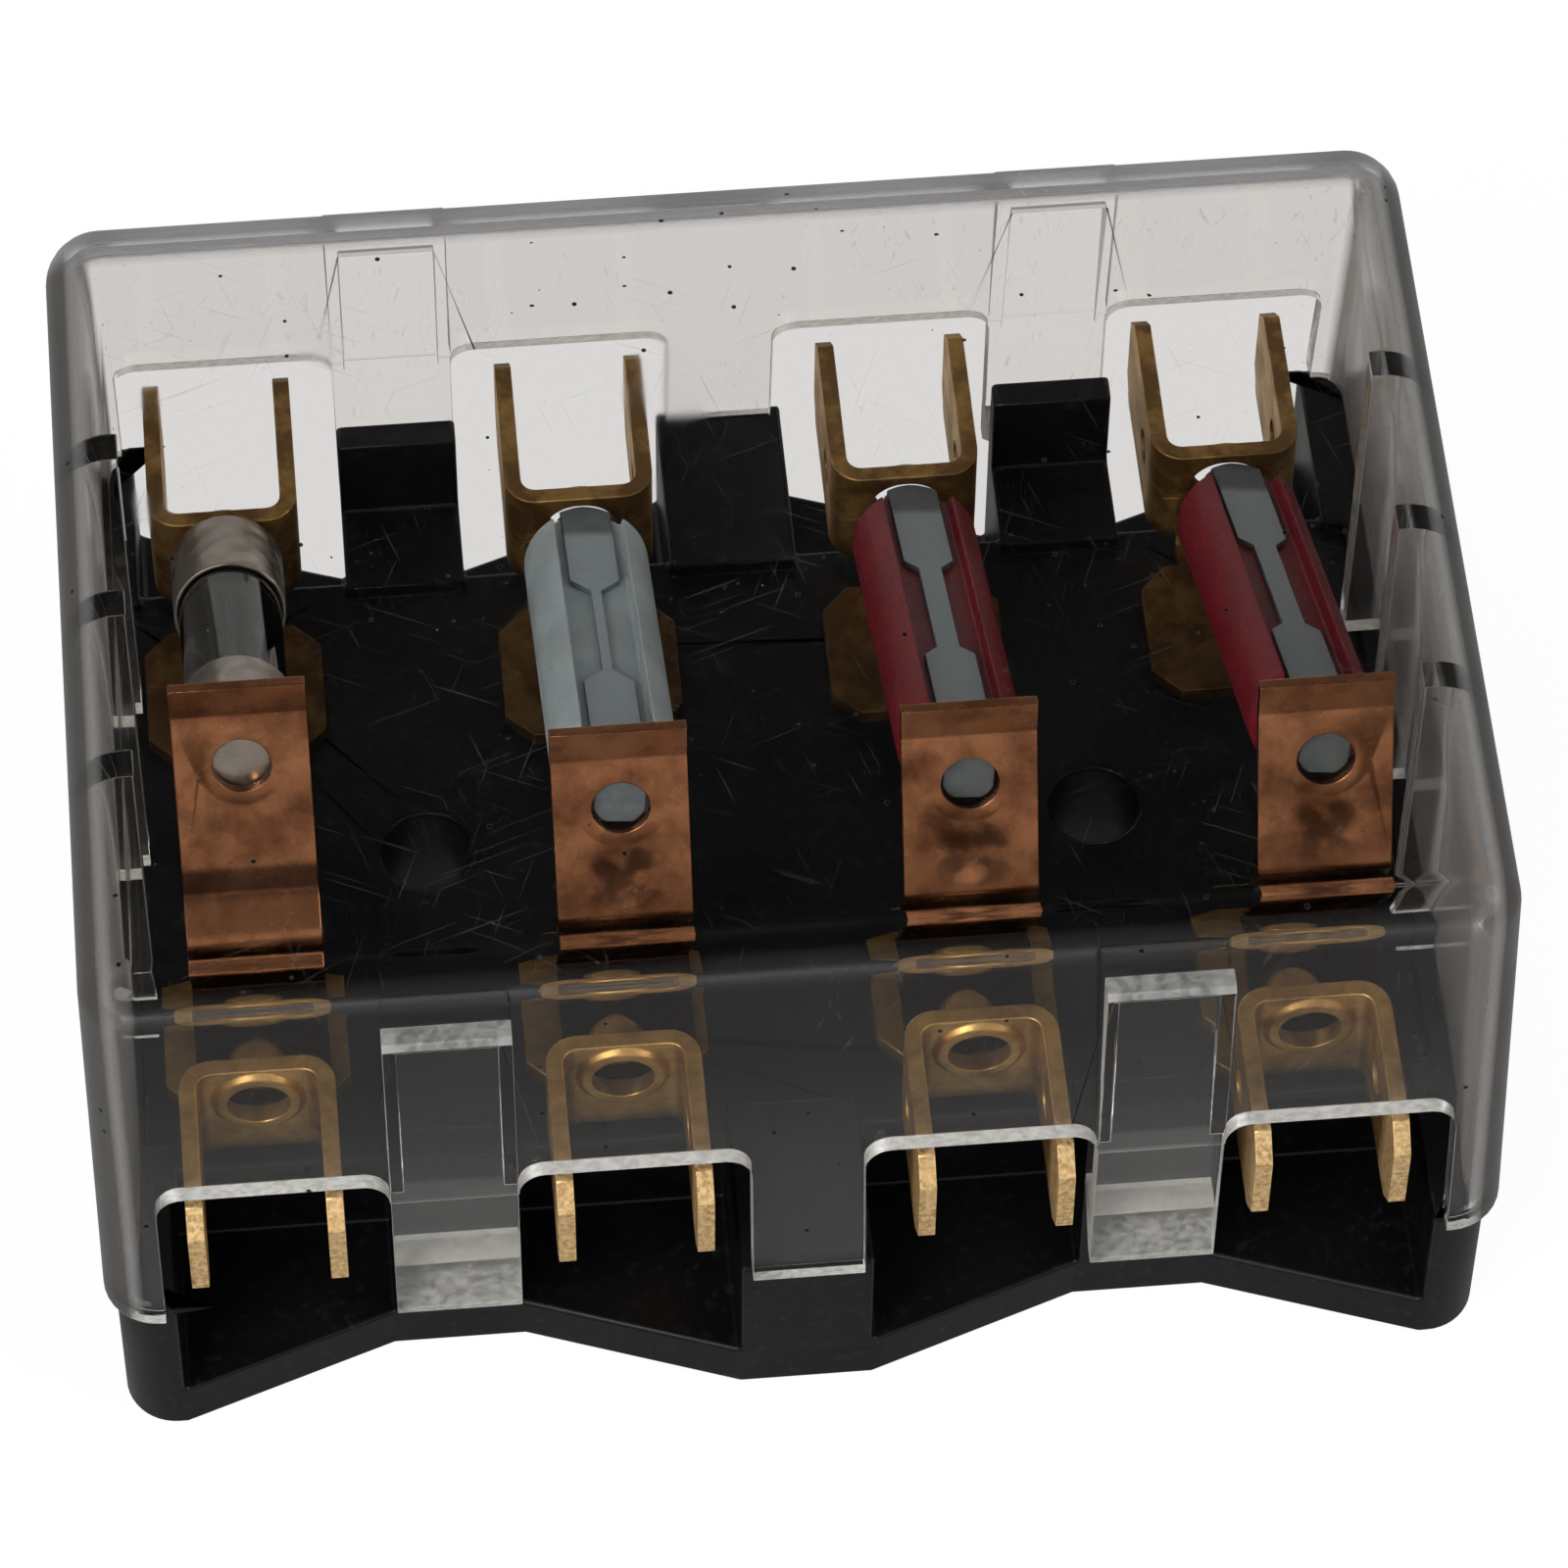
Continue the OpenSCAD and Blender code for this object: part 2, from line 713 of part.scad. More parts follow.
// One cap, drawn closed end down
module cap() {
    difference() {
        cylinder(h = cap_l, d = cap_d);
        translate([0, 0, cap_t]) cylinder(h = cap_l, d = cap_d - 2 * cap_t);
    }
}

module rear_cap() {
    color("#b9bdbd")
    in_way(0, glass_seat_l, glass_tilt) translate([0, 0, rear_cap_gap]) cap();
}

module front_cap() {
    color("#b9bdbd")
    in_way(0, glass_seat_l, glass_tilt)
        translate([0, 0, rear_cap_gap + glass_l]) mirror([0, 0, 1]) cap();
}

module fuse_wire() {
    color("#8f9698")
    in_way(0, glass_seat_l, glass_tilt)
        translate([0, 0, rear_cap_gap + cap_t]) cylinder(h = glass_l - 2 * cap_t, d = wire_d, $fn = 16);
}

// Rivets: a head on top, a shank through the deck and a flared tail under it

module rivet(seat) {
    tail = deck_h - deck_t;
    translate([0, 0, seat]) cylinder(h = rivet_head_h, d1 = rivet_head_d, d2 = rivet_d);
    translate([0, 0, tail]) cylinder(h = seat - tail, d = rivet_d);
    translate([0, 0, tail - rivet_head_h]) cylinder(h = rivet_head_h, d = rivet_head_d);
}

module front_rivets() {
    color("#b08a45")
    for (x = front_x) translate([x, -rivet_y, 0]) rivet(plate_top + copper_t);
}

module rear_rivets() {
    color("#b08a45")
    for (x = rear_x) translate([x, rivet_y, 0]) rivet(plate_top);
}

module short_spring() {
    contact_spring(0, glass_seat_l, glass_tilt, short_face_drop, [[-nose_y, nose_z]]);
}

module long_spring(i) {
    contact_spring(i, torpedo_seat_l, torpedo_tilt, face_drop, []);
}

base();
rear_terminal(0);  // rear_terminal_1
rear_terminal(1);  // rear_terminal_2
rear_terminal(2);  // rear_terminal_3
rear_terminal(3);  // rear_terminal_4
front_terminal(0);  // front_terminal_1
front_terminal(1);  // front_terminal_2
front_terminal(2);  // front_terminal_3
front_terminal(3);  // front_terminal_4
short_spring();  // contact_spring_1
long_spring(1);  // contact_spring_2
long_spring(2);  // contact_spring_3
long_spring(3);  // contact_spring_4
glass_tube();  // fuse_1_glass
rear_cap();  // fuse_1_rear_cap
front_cap();  // fuse_1_front_cap
fuse_wire();  // fuse_1_wire
torpedo_body(1, "#c9cfca");  // fuse_2_body
torpedo_element(1);  // fuse_2_element
torpedo_body(2, "#8c1c2a");  // fuse_3_body
torpedo_element(2);  // fuse_3_element
torpedo_body(3, "#8c1c2a");  // fuse_4_body
torpedo_element(3);  // fuse_4_element
front_rivets();
rear_rivets();
cover();
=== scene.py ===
"""Looks of a four-way fuse box: clear cover, black base, brass terminals, copper springs and four fuses.

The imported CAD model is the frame. Each of its nodes is copied, merged, softened at its edges, and finished.
Lengths are in metres, in the CAD model's own frame: X along the row of ways, Y to the rear, Z up.
"""
import json
import math

import bpy
from mathutils import Matrix

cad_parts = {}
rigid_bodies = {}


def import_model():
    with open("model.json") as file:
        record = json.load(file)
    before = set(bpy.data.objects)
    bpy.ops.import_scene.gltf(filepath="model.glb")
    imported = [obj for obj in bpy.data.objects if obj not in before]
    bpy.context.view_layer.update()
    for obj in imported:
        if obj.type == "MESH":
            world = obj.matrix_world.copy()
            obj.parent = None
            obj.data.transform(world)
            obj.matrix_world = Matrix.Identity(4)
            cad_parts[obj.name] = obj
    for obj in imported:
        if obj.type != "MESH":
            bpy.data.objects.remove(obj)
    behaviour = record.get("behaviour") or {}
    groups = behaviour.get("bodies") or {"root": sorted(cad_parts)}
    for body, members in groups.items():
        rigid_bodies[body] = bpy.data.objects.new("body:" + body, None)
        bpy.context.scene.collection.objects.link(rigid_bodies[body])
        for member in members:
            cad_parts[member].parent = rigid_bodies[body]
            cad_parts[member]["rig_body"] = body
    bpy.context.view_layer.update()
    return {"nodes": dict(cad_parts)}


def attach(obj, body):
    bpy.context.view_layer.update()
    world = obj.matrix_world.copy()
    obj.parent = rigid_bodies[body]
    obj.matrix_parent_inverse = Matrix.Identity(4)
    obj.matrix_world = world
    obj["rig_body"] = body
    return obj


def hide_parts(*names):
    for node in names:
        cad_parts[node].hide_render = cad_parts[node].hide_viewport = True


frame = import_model()

bl_info = {
    "name": "Fuse box",
    "version": (1, 0, 0),
    "blender": (4, 5, 0),
    "location": "View3D > Sidebar > Fuse box",
    "description": "Finishes the pieces of a four-way fuse box and sets it on a studio stage",
    "category": "Object",
}

MM = 0.001
WAYS = (1, 2, 3, 4)
# The way of the short glass fuse, whose spring has a shelf
SHORT_WAY = 1

# The springs: middle of each pressed hollow, lean of the faces, underside of each nose, bend over the shelf
HOLLOWS = {1: (-24.5 * MM, -6.4 * MM, 20.2 * MM), 2: (-7.3 * MM, -7.88 * MM, 19.69 * MM),
           3: (8.8 * MM, -7.88 * MM, 19.69 * MM), 4: (25.3 * MM, -7.88 * MM, 19.69 * MM)}
FACE_LEAN = math.radians(23)
NOSE_Z = {1: 16.4 * MM, 2: 17.9 * MM, 3: 17.9 * MM, 4: 17.9 * MM}
SHELF_BEND_Z = 18.5 * MM

# The cover's long walls, in millimetres: half the depth at the rim, the rim's height and the walls' lean
RIM_Y = 25.6
RIM_Z = 10
WALL_SLOPE = 0.132
# Top and outer end of its cutouts, underside of its top and inside of its short walls, in millimetres
CUTOUT_TOP = 18.8
CUTOUT_END = 28.5
TOP_Z = 29.5
SIDE_X = 31

# Where a finish, a painted shade or a painted reflection begins and where it is full, along one axis
REFLECTION_HAZE_Z = (27 * MM, 14 * MM)
SIDE_VEIL_X = (30.6 * MM, 31.4 * MM)
BAND_Y = (19.8 * MM, 20.9 * MM)
BAND_Z = (28.4 * MM, 29.6 * MM)
REAR_FILM_Y = (-5 * MM, 5 * MM)
FOOT_SHADE_Z = (10.9 * MM, 10.2 * MM)
REAR_BLADE_Y = (15.5 * MM, 17 * MM)
FRONT_TIP_Y = (-21 * MM, -22.6 * MM)
REAR_SEAT_Y = (12 * MM, 12.6 * MM)
FRONT_SEAT_Y = (-5.4 * MM, -6.2 * MM)

# How far the cover is veiled: low down by a lit haze that is painted reflection, on the short walls, on the
# rear edge, at dirt and at scratches
REFLECTION_HAZE = 0.011
SIDE_VEIL = 0.4
BAND_VEIL = 0.5
DIRT_VEIL = 0.6
SCRATCH_VEIL = 0.045

# Merging of the CAD meshes: points closer than this are one, and faces turned less than this are one plane
WELD = 0.001 * MM
FLAT_TURN = math.radians(0.3)
# Edges turned more than this are sharp, and those turned more than that fold back on themselves
SHARP_TURN = math.radians(33)
FOLD_TURN = math.radians(150)

# Brightness of the floor to the eye, through the cover and in reflections, and the share of paint in it
FLOOR_SEEN = 1.06
FLOOR_THROUGH = 0.73
FLOOR_REFLECTED = 0.35
PAINT_SHARE = 0.1
FLOOR_DROP = 0.02 * MM
# Brightness of the room low down and overhead
ROOM_LOW = 0.95
ROOM_OVERHEAD = 0.02


def linear(code):
    """Linear colour of an sRGB hex value."""
    channels = [int(code[i:i + 2], 16) / 255 for i in (1, 3, 5)]
    return tuple(c / 12.92 if c <= 0.04045 else ((c + 0.055) / 1.055) ** 2.4 for c in channels)


def opaque(colour):
    """A property's colour with full alpha, as a node socket takes it."""
    return (*colour, 1.0)


def per_mm(size):
    """Texture scale at which one cell of a pattern is size millimetres wide."""
    return 1 / (size * MM)


def add(tree, kind, settings=None, links=None):
    """Adds one node, sets its options and sockets and links other nodes' outputs to it."""
    node = tree.nodes.new(kind)
    for name, value in (settings or {}).items():
        if isinstance(name, int) or name in node.inputs:
            node.inputs[name].default_value = value
        else:
            setattr(node, name, value)
    for name, output in (links or {}).items():
        tree.links.new(output, node.inputs[name])
    return node


def empty_material(name):
    """A new material with an empty node tree."""
    material = bpy.data.materials.new(name)
    material.use_nodes = True
    material.node_tree.nodes.clear()
    return material


class FuseBoxColours(bpy.types.PropertyGroup):
    """Colours of the finishes."""

    base_black: bpy.props.FloatVectorProperty(
        name="Base", description="Black plastic of the base", subtype="COLOR", default=linear("#08090c"))
    base_dust: bpy.props.FloatVectorProperty(
        name="Base dust", description="Dust that greys the base", subtype="COLOR",
        default=linear("#2c2c2e"))
    cover_tint: bpy.props.FloatVectorProperty(
        name="Cover", description="Tint of the clear cover", subtype="COLOR", default=linear("#fcfaf8"))
    cover_scratch: bpy.props.FloatVectorProperty(
        name="Cover scratches", description="Scratches and dust on the cover", subtype="COLOR",
        default=linear("#d4d2ce"))
    cover_side: bpy.props.FloatVectorProperty(
        name="Cover sides", description="Greyed short walls of the cover", subtype="COLOR",
        default=linear("#5f5d5b"))
    cover_band: bpy.props.FloatVectorProperty(
        name="Cover band", description="Grey band along the rear edge of the cover's top", subtype="COLOR",
        default=linear("#98989b"))
    cover_dirt: bpy.props.FloatVectorProperty(
        name="Cover dirt", description="Dark specks stuck to the cover", subtype="COLOR",
        default=linear("#141312"))
    cover_edge: bpy.props.FloatVectorProperty(
        name="Cover edges", description="Rubbed edges of the cover", subtype="COLOR",
        default=linear("#b9b9b4"))
    brass: bpy.props.FloatVectorProperty(
        name="Brass", description="Clean brass of the terminals", subtype="COLOR",
        default=linear("#cfa662"))
    brass_patina: bpy.props.FloatVectorProperty(
        name="Brass patina", description="Brown film on old brass", subtype="COLOR",
        default=linear("#6a5030"))
    # Painted shade for the terminals' foot plates
    foot_plate_shade: bpy.props.FloatVectorProperty(
        name="Dark brass", description="Painted shade on the terminals' foot plates", subtype="COLOR",
        default=linear("#33241a"))
    pale_brass: bpy.props.FloatVectorProperty(
        name="Pale brass", description="Pale tips of the front blades, and painted reflection on the rear blades' faces", subtype="COLOR",
        default=linear("#f2cc94"))
    copper: bpy.props.FloatVectorProperty(
        name="Copper", description="Clean copper of the springs", subtype="COLOR",
        default=linear("#a87350"))
    copper_patina: bpy.props.FloatVectorProperty(
        name="Copper patina", description="Brown film on old copper", subtype="COLOR",
        default=linear("#553322"))
    tarnish_and_shade: bpy.props.FloatVectorProperty(
        name="Tarnish and shade", description="Dark film in the springs' hollows, and painted shade under their noses", subtype="COLOR",
        default=linear("#2c1c17"))
    nickel: bpy.props.FloatVectorProperty(
        name="Nickel", description="Caps of the glass fuse", subtype="COLOR", default=linear("#938c83"))
    # The glass's grey tint is painted shade for the dark box that the clear tube lies in
    tube: bpy.props.FloatVectorProperty(
        name="Glass", description="Tube of the glass fuse", subtype="COLOR", default=linear("#6e7472"))
    element: bpy.props.FloatVectorProperty(
        name="Element", description="Zinc strip of the red fuses", subtype="COLOR",
        default=linear("#7f8789"))
    element_pale: bpy.props.FloatVectorProperty(
        name="Pale element", description="Zinc strip of the white fuse", subtype="COLOR",
        default=linear("#8f999d"))
    white_ceramic: bpy.props.FloatVectorProperty(
        name="White fuse", description="Body of the white fuse", subtype="COLOR",
        default=linear("#8d989b"))
    red_ceramic: bpy.props.FloatVectorProperty(
        name="Red fuses", description="Bodies of the red fuses", subtype="COLOR",
        default=linear("#5c0e18"))
    floor: bpy.props.FloatVectorProperty(
        name="Floor", description="Studio floor", subtype="COLOR", default=linear("#d2d2d2"))


class FuseBoxSizes(bpy.types.PropertyGroup):
    """Softened edges of the pieces."""

    base_edge: bpy.props.FloatProperty(
        name="Base edge", description="Radius of the base's moulded edges", unit="LENGTH",
        default=0.22 * MM)
    cover_edge: bpy.props.FloatProperty(
        name="Cover edge", description="Radius of the cover's moulded edges", unit="LENGTH",
        default=0.05 * MM)
    brass_edge: bpy.props.FloatProperty(
        name="Brass edge", description="Rounding that shearing leaves on the brass", unit="LENGTH",
        default=0.07 * MM)
    copper_edge: bpy.props.FloatProperty(
        name="Copper edge", description="Rounding that shearing leaves on the copper", unit="LENGTH",
        default=0.05 * MM)
    fuse_edge: bpy.props.FloatProperty(
        name="Fuse edge", description="Radius of the edges of fuse bodies and caps", unit="LENGTH",
        default=0.12 * MM)


class FuseBoxStage(bpy.types.PropertyGroup):
    """Camera, lamps and floor."""

    eye: bpy.props.FloatVectorProperty(
        name="Camera place", description="Where the camera stands", subtype="TRANSLATION", unit="LENGTH",
        default=(-20.26 * MM, -211.05 * MM, 314.23 * MM))
    elevation: bpy.props.FloatProperty(
        name="Camera elevation", description="How steeply the camera looks down", subtype="ANGLE",
        default=math.radians(54.828))
    turn: bpy.props.FloatProperty(
        name="Camera turn", description="How far the camera looks to the right of straight to the rear",
        subtype="ANGLE", default=math.radians(5.775))
    roll: bpy.props.FloatProperty(
        name="Camera roll", description="How far the camera leans to the left", subtype="ANGLE",
        default=math.radians(0.784))
    lens: bpy.props.FloatProperty(
        name="Lens", description="Focal length of the camera, in millimetres", default=176.95)
    sensor: bpy.props.FloatProperty(
        name="Sensor", description="Width of the camera's sensor, in millimetres", default=36.0)
    key_power: bpy.props.FloatProperty(
        name="Key lamp", description="Power of the lamp at the front left", unit="POWER", default=7.0)
    key_size: bpy.props.FloatProperty(
        name="Key size", description="Width of the lamp at the front left", unit="LENGTH", default=0.5)
    key_place: bpy.props.FloatVectorProperty(
        name="Key place", description="Where the lamp at the front left hangs", subtype="TRANSLATION",
        unit="LENGTH", default=(-0.55, -0.6, 0.75))
    fill_power: bpy.props.FloatProperty(
        name="Fill lamp", description="Power of the lamp at the right", unit="POWER", default=3.0)
    fill_size: bpy.props.FloatProperty(
        name="Fill size", description="Width of the lamp at the right", unit="LENGTH", default=0.6)
    fill_place: bpy.props.FloatVectorProperty(
        name="Fill place", description="Where the lamp at the right hangs", subtype="TRANSLATION",
        unit="LENGTH", default=(0.8, -0.35, 0.55))
    floor_size: bpy.props.FloatProperty(
        name="Floor size", description="Length of the floor's sides", unit="LENGTH", default=6.0)


def merged_copy(node, name, edge, material):
    """Stands a merged copy with softened edges in for a CAD node, on the node's body."""
    source = frame["nodes"][node]
    piece = bpy.data.objects.new(name, source.data.copy())
    bpy.context.collection.objects.link(piece)
    bpy.ops.object.select_all(action="DESELECT")
    piece.select_set(True)
    bpy.context.view_layer.objects.active = piece
    bpy.ops.mesh.customdata_custom_splitnormals_clear()
    bpy.ops.object.mode_set(mode="EDIT")
    bpy.ops.mesh.select_all(action="SELECT")
    bpy.ops.mesh.remove_doubles(threshold=WELD)
    bpy.ops.mesh.dissolve_limited(angle_limit=FLAT_TURN)
    bpy.ops.mesh.quads_convert_to_tris(ngon_method="BEAUTY")
    bpy.ops.mesh.select_mode(type="EDGE")
    # Edges that fold back on themselves can't take a rounding
    for turn, weight in ((SHARP_TURN, 1), (FOLD_TURN, -1)):
        bpy.ops.mesh.select_all(action="DESELECT")
        bpy.ops.mesh.edges_select_sharp(sharpness=turn)
        bpy.ops.transform.edge_bevelweight(value=weight)
    bpy.ops.object.mode_set(mode="OBJECT")
    bpy.ops.object.shade_smooth_by_angle(angle=SHARP_TURN)
    bevel = piece.modifiers.new("Softened edges", "BEVEL")
    bevel.width = edge
    bevel.segments = 3
    bevel.limit_method = "WEIGHT"
    bevel.use_clamp_overlap = False
    bevel.miter_outer = "MITER_ARC"
    bpy.ops.object.modifier_apply(modifier=bevel.name)
    bpy.ops.object.shade_smooth_by_angle(angle=SHARP_TURN)
    weighted = piece.modifiers.new("Flat faces stay flat", "WEIGHTED_NORMAL")
    weighted.keep_sharp = True
    bpy.ops.object.modifier_apply(modifier=weighted.name)
    piece.data.materials.clear()
    piece.data.materials.append(material)
    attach(piece, source["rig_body"])
    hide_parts(node)
    return piece


def moulded_black_abs(colours):
    """Moulded ABS, dyed through: near black, a satin grain from the mould and dust in it."""
    material = empty_material("moulded black ABS")
    tree = material.node_tree
    place = add(tree, "ShaderNodeTexCoord")
    # The spark-eroded mould leaves a grain of about 0.05 mm, drawn at 0.22 mm so that it shows
    grain = add(tree, "ShaderNodeTexNoise", {"Scale": per_mm(0.22), "Detail": 1.0, "Roughness": 0.6},
                {"Vector": place.outputs["Object"]})
    # Handling polishes some places and dulls others, in patches of a finger's width
    patches = add(tree, "ShaderNodeTexNoise", {"Scale": per_mm(7), "Detail": 2.0, "Roughness": 0.6},
                  {"Vector": place.outputs["Object"]})
    gloss = add(tree, "ShaderNodeMapRange",
                {"From Min": 0.3, "From Max": 0.7, "To Min": 0.3, "To Max": 0.46},
                {"Value": patches.outputs["Fac"]})
    # Dust lies in specks of about 0.6 mm
    specks = add(tree, "ShaderNodeTexNoise", {"Scale": per_mm(0.6), "Detail": 3.0, "Roughness": 0.7},
                 {"Vector": place.outputs["Object"]})
    dusty = add(tree, "ShaderNodeMapRange",
                {"From Min": 0.56, "From Max": 0.74, "To Min": 0.0, "To Max": 0.5},
                {"Value": specks.outputs["Fac"]})
    colour = add(tree, "ShaderNodeMix",
                 {"data_type": "RGBA", 6: opaque(colours.base_black), 7: opaque(colours.base_dust)},
                 {0: dusty.outputs["Result"]})
    bump = add(tree, "ShaderNodeBump", {"Strength": 0.25, "Distance": 0.03 * MM},
               {"Height": grain.outputs["Fac"]})
    skin = add(tree, "ShaderNodeBsdfPrincipled", {"IOR": 1.5, "Specular IOR Level": 0.25},
               {"Base Color": colour.outputs[2], "Roughness": gloss.outputs["Result"],
                "Normal": bump.outputs["Normal"]})
    add(tree, "ShaderNodeOutputMaterial", None, {"Surface": skin.outputs["BSDF"]})
    return material


def moulded_clear_acrylic(colours):
    """Moulded acrylic: clear and glossy, greyed by hairline scratches, dust, specks of dirt and wear, with a
    haze low down that is painted reflection and reflections dimmed as painted shade.
    """
    material = empty_material("moulded clear acrylic")
    tree = material.node_tree
    place = add(tree, "ShaderNodeTexCoord")
    # Hairlines 4 to 8 mm long in four directions, drawn 0.06 mm wide instead of 0.02 mm so that they show
    lines = None
    for turn, length, width in ((0.35, 8, 0.13), (1.2, 5, 0.12), (1.9, 4, 0.12), (2.7, 6, 0.13)):
        along = add(tree, "ShaderNodeMapping",
                    {"vector_type": "TEXTURE", "Rotation": (0.05, 0.04, turn),
                     "Scale": (length * MM, width * MM, width * 14 * MM)},
                    {"Vector": place.outputs["Object"]})
        streaks = add(tree, "ShaderNodeTexNoise", {"Scale": 1.0, "Detail": 1.0, "Roughness": 0.3},
                      {"Vector": along.outputs["Vector"]})
        crest = add(tree, "ShaderNodeMapRange", {"From Min": 0.735, "From Max": 0.8},
                    {"Value": streaks.outputs["Fac"]})
        if lines is None:
            lines = crest.outputs["Result"]
        else:
            lines = add(tree, "ShaderNodeMath", {"operation": "MAXIMUM"},
                        {0: lines, 1: crest.outputs["Result"]}).outputs["Value"]
    # Dust specks of about 0.1 mm, one to every few square millimetres
    dots = add(tree, "ShaderNodeTexVoronoi", {"Scale": per_mm(1.5), "Randomness": 1.0},
               {"Vector": place.outputs["Object"]})
    speck = add(tree, "ShaderNodeMapRange", {"From Min": 0.085, "From Max": 0.04},
                {"Value": dots.outputs["Distance"]})
    # Wear gathers in patches of a few millimetres
    patches = add(tree, "ShaderNodeTexNoise", {"Scale": per_mm(9), "Detail": 2.0, "Roughness": 0.65},
                  {"Vector": place.outputs["Object"]})
    wear_and_reflection = add(tree, "ShaderNodeMapRange", {"From Min": 0.42, "From Max": 0.68},
               {"Value": patches.outputs["Fac"]})
    marks = add(tree, "ShaderNodeMath", {"operation": "MAXIMUM"}, {0: lines, 1: speck.outputs["Result"]})
    # A lit haze veils the lower walls, below the edge of the top: painted reflection of the floor in front
    height = add(tree, "ShaderNodeSeparateXYZ", None, {"Vector": place.outputs["Object"]})
    low = add(tree, "ShaderNodeMapRange",
              {"From Min": REFLECTION_HAZE_Z[0], "From Max": REFLECTION_HAZE_Z[1], "To Max": REFLECTION_HAZE,
               "interpolation_type": "SMOOTHSTEP"}, {"Value": height.outputs["Z"]})
    # The short walls are greyed, and so is a band along the rear edge of the top
    out = add(tree, "ShaderNodeMath", {"operation": "ABSOLUTE"}, {0: height.outputs["X"]})
    side = add(tree, "ShaderNodeMapRange", {"From Min": SIDE_VEIL_X[0], "From Max": SIDE_VEIL_X[1]},
               {"Value": out.outputs["Value"]})
    bare = add(tree, "ShaderNodeMapRange", {"To Min": 1.0, "To Max": 0.2},
               {"Value": side.outputs["Result"]})
    shown = add(tree, "ShaderNodeMath", {"operation": "MULTIPLY"},
                {0: marks.outputs["Value"], 1: bare.outputs["Result"]})
    marked = add(tree, "ShaderNodeMath", {"operation": "MULTIPLY"},
                 {0: shown.outputs["Value"], 1: wear_and_reflection.outputs["Result"]})
    back = add(tree, "ShaderNodeMapRange",
               {"From Min": BAND_Y[0], "From Max": BAND_Y[1], "interpolation_type": "SMOOTHSTEP"},
               {"Value": height.outputs["Y"]})
    upper = add(tree, "ShaderNodeMapRange", {"From Min": BAND_Z[0], "From Max": BAND_Z[1]},
                {"Value": height.outputs["Z"]})
    edge = add(tree, "ShaderNodeMath", {"operation": "MULTIPLY"},
               {0: back.outputs["Result"], 1: upper.outputs["Result"]})
    # One speck in six is dark dirt of about 0.2 mm that sticks
    draw = add(tree, "ShaderNodeSeparateXYZ", None, {"Vector": dots.outputs["Color"]})
    picked = add(tree, "ShaderNodeMath", {"operation": "GREATER_THAN", 1: 0.84}, {0: draw.outputs["X"]})
    grit = add(tree, "ShaderNodeMapRange", {"From Min": 0.085, "From Max": 0.078},
               {"Value": dots.outputs["Distance"]})
    dirt = add(tree, "ShaderNodeMath", {"operation": "MULTIPLY"},
               {0: picked.outputs["Value"], 1: grit.outputs["Result"]})
    cloud = add(tree, "ShaderNodeMath", {"operation": "MULTIPLY_ADD", 1: SIDE_VEIL},
                {0: side.outputs["Result"], 2: low.outputs["Result"]})
    band = add(tree, "ShaderNodeMath", {"operation": "MULTIPLY_ADD", 1: BAND_VEIL},
               {0: edge.outputs["Value"], 2: cloud.outputs["Value"]})
    stuck = add(tree, "ShaderNodeMath", {"operation": "MULTIPLY_ADD", 1: DIRT_VEIL},
                {0: dirt.outputs["Value"], 2: band.outputs["Value"]})
    veil = add(tree, "ShaderNodeMath", {"operation": "MULTIPLY_ADD", 1: SCRATCH_VEIL},
               {0: marked.outputs["Value"], 2: stuck.outputs["Value"]})
    clear = add(tree, "ShaderNodeMath", {"operation": "SUBTRACT", 0: 1.0, "use_clamp": True},
                {1: veil.outputs["Value"]})
    grey = add(tree, "ShaderNodeMath", {"operation": "MAXIMUM"},
               {0: side.outputs["Result"], 1: edge.outputs["Value"]})
    # Only the worn patches and the greyed walls are dull
    gloss = add(tree, "ShaderNodeMapRange", {"From Min": 0.6, "To Max": 0.08},
                {"Value": wear_and_reflection.outputs["Result"]})
    rough = add(tree, "ShaderNodeMath", {"operation": "MULTIPLY_ADD", 1: 0.3},
                {0: grey.outputs["Value"], 2: gloss.outputs["Result"]})
    wall_tint = add(tree, "ShaderNodeMix",
                    {"data_type": "RGBA", 6: opaque(colours.cover_tint), 7: opaque(colours.cover_side)},
                    {0: side.outputs["Result"]})
    band_tint = add(tree, "ShaderNodeMix", {"data_type": "RGBA", 7: opaque(colours.cover_band)},
                    {0: edge.outputs["Value"], 6: wall_tint.outputs[2]})
    scratched = add(tree, "ShaderNodeMix", {"data_type": "RGBA", 7: opaque(colours.cover_scratch)},
                    {0: marked.outputs["Value"], 6: band_tint.outputs[2]})
    colour = add(tree, "ShaderNodeMix", {"data_type": "RGBA", 7: opaque(colours.cover_dirt)},
                 {0: dirt.outputs["Value"], 6: scratched.outputs[2]})
    # Its reflections are tinted down: painted shade that dims the floor and room that they show
    wall = add(tree, "ShaderNodeBsdfPrincipled",
               {"IOR": 1.49, "Specular IOR Level": 0.3, "Specular Tint": (0.2, 0.2, 0.2, 1.0)},
               {"Base Color": colour.outputs[2], "Roughness": rough.outputs["Value"],
                "Transmission Weight": clear.outputs["Value"]})
    # Lamp light passes straight through, a little dimmed, instead of being lost in the walls
    passed = add(tree, "ShaderNodeBsdfTransparent", {"Color": opaque(linear("#e9e8e6"))})
    path = add(tree, "ShaderNodeLightPath")
    mixed = add(tree, "ShaderNodeMixShader", None,
                {0: path.outputs["Is Shadow Ray"], 1: wall.outputs["BSDF"], 2: passed.outputs["BSDF"]})
    add(tree, "ShaderNodeOutputMaterial", None, {"Surface": mixed.outputs["Shader"]})
    return material


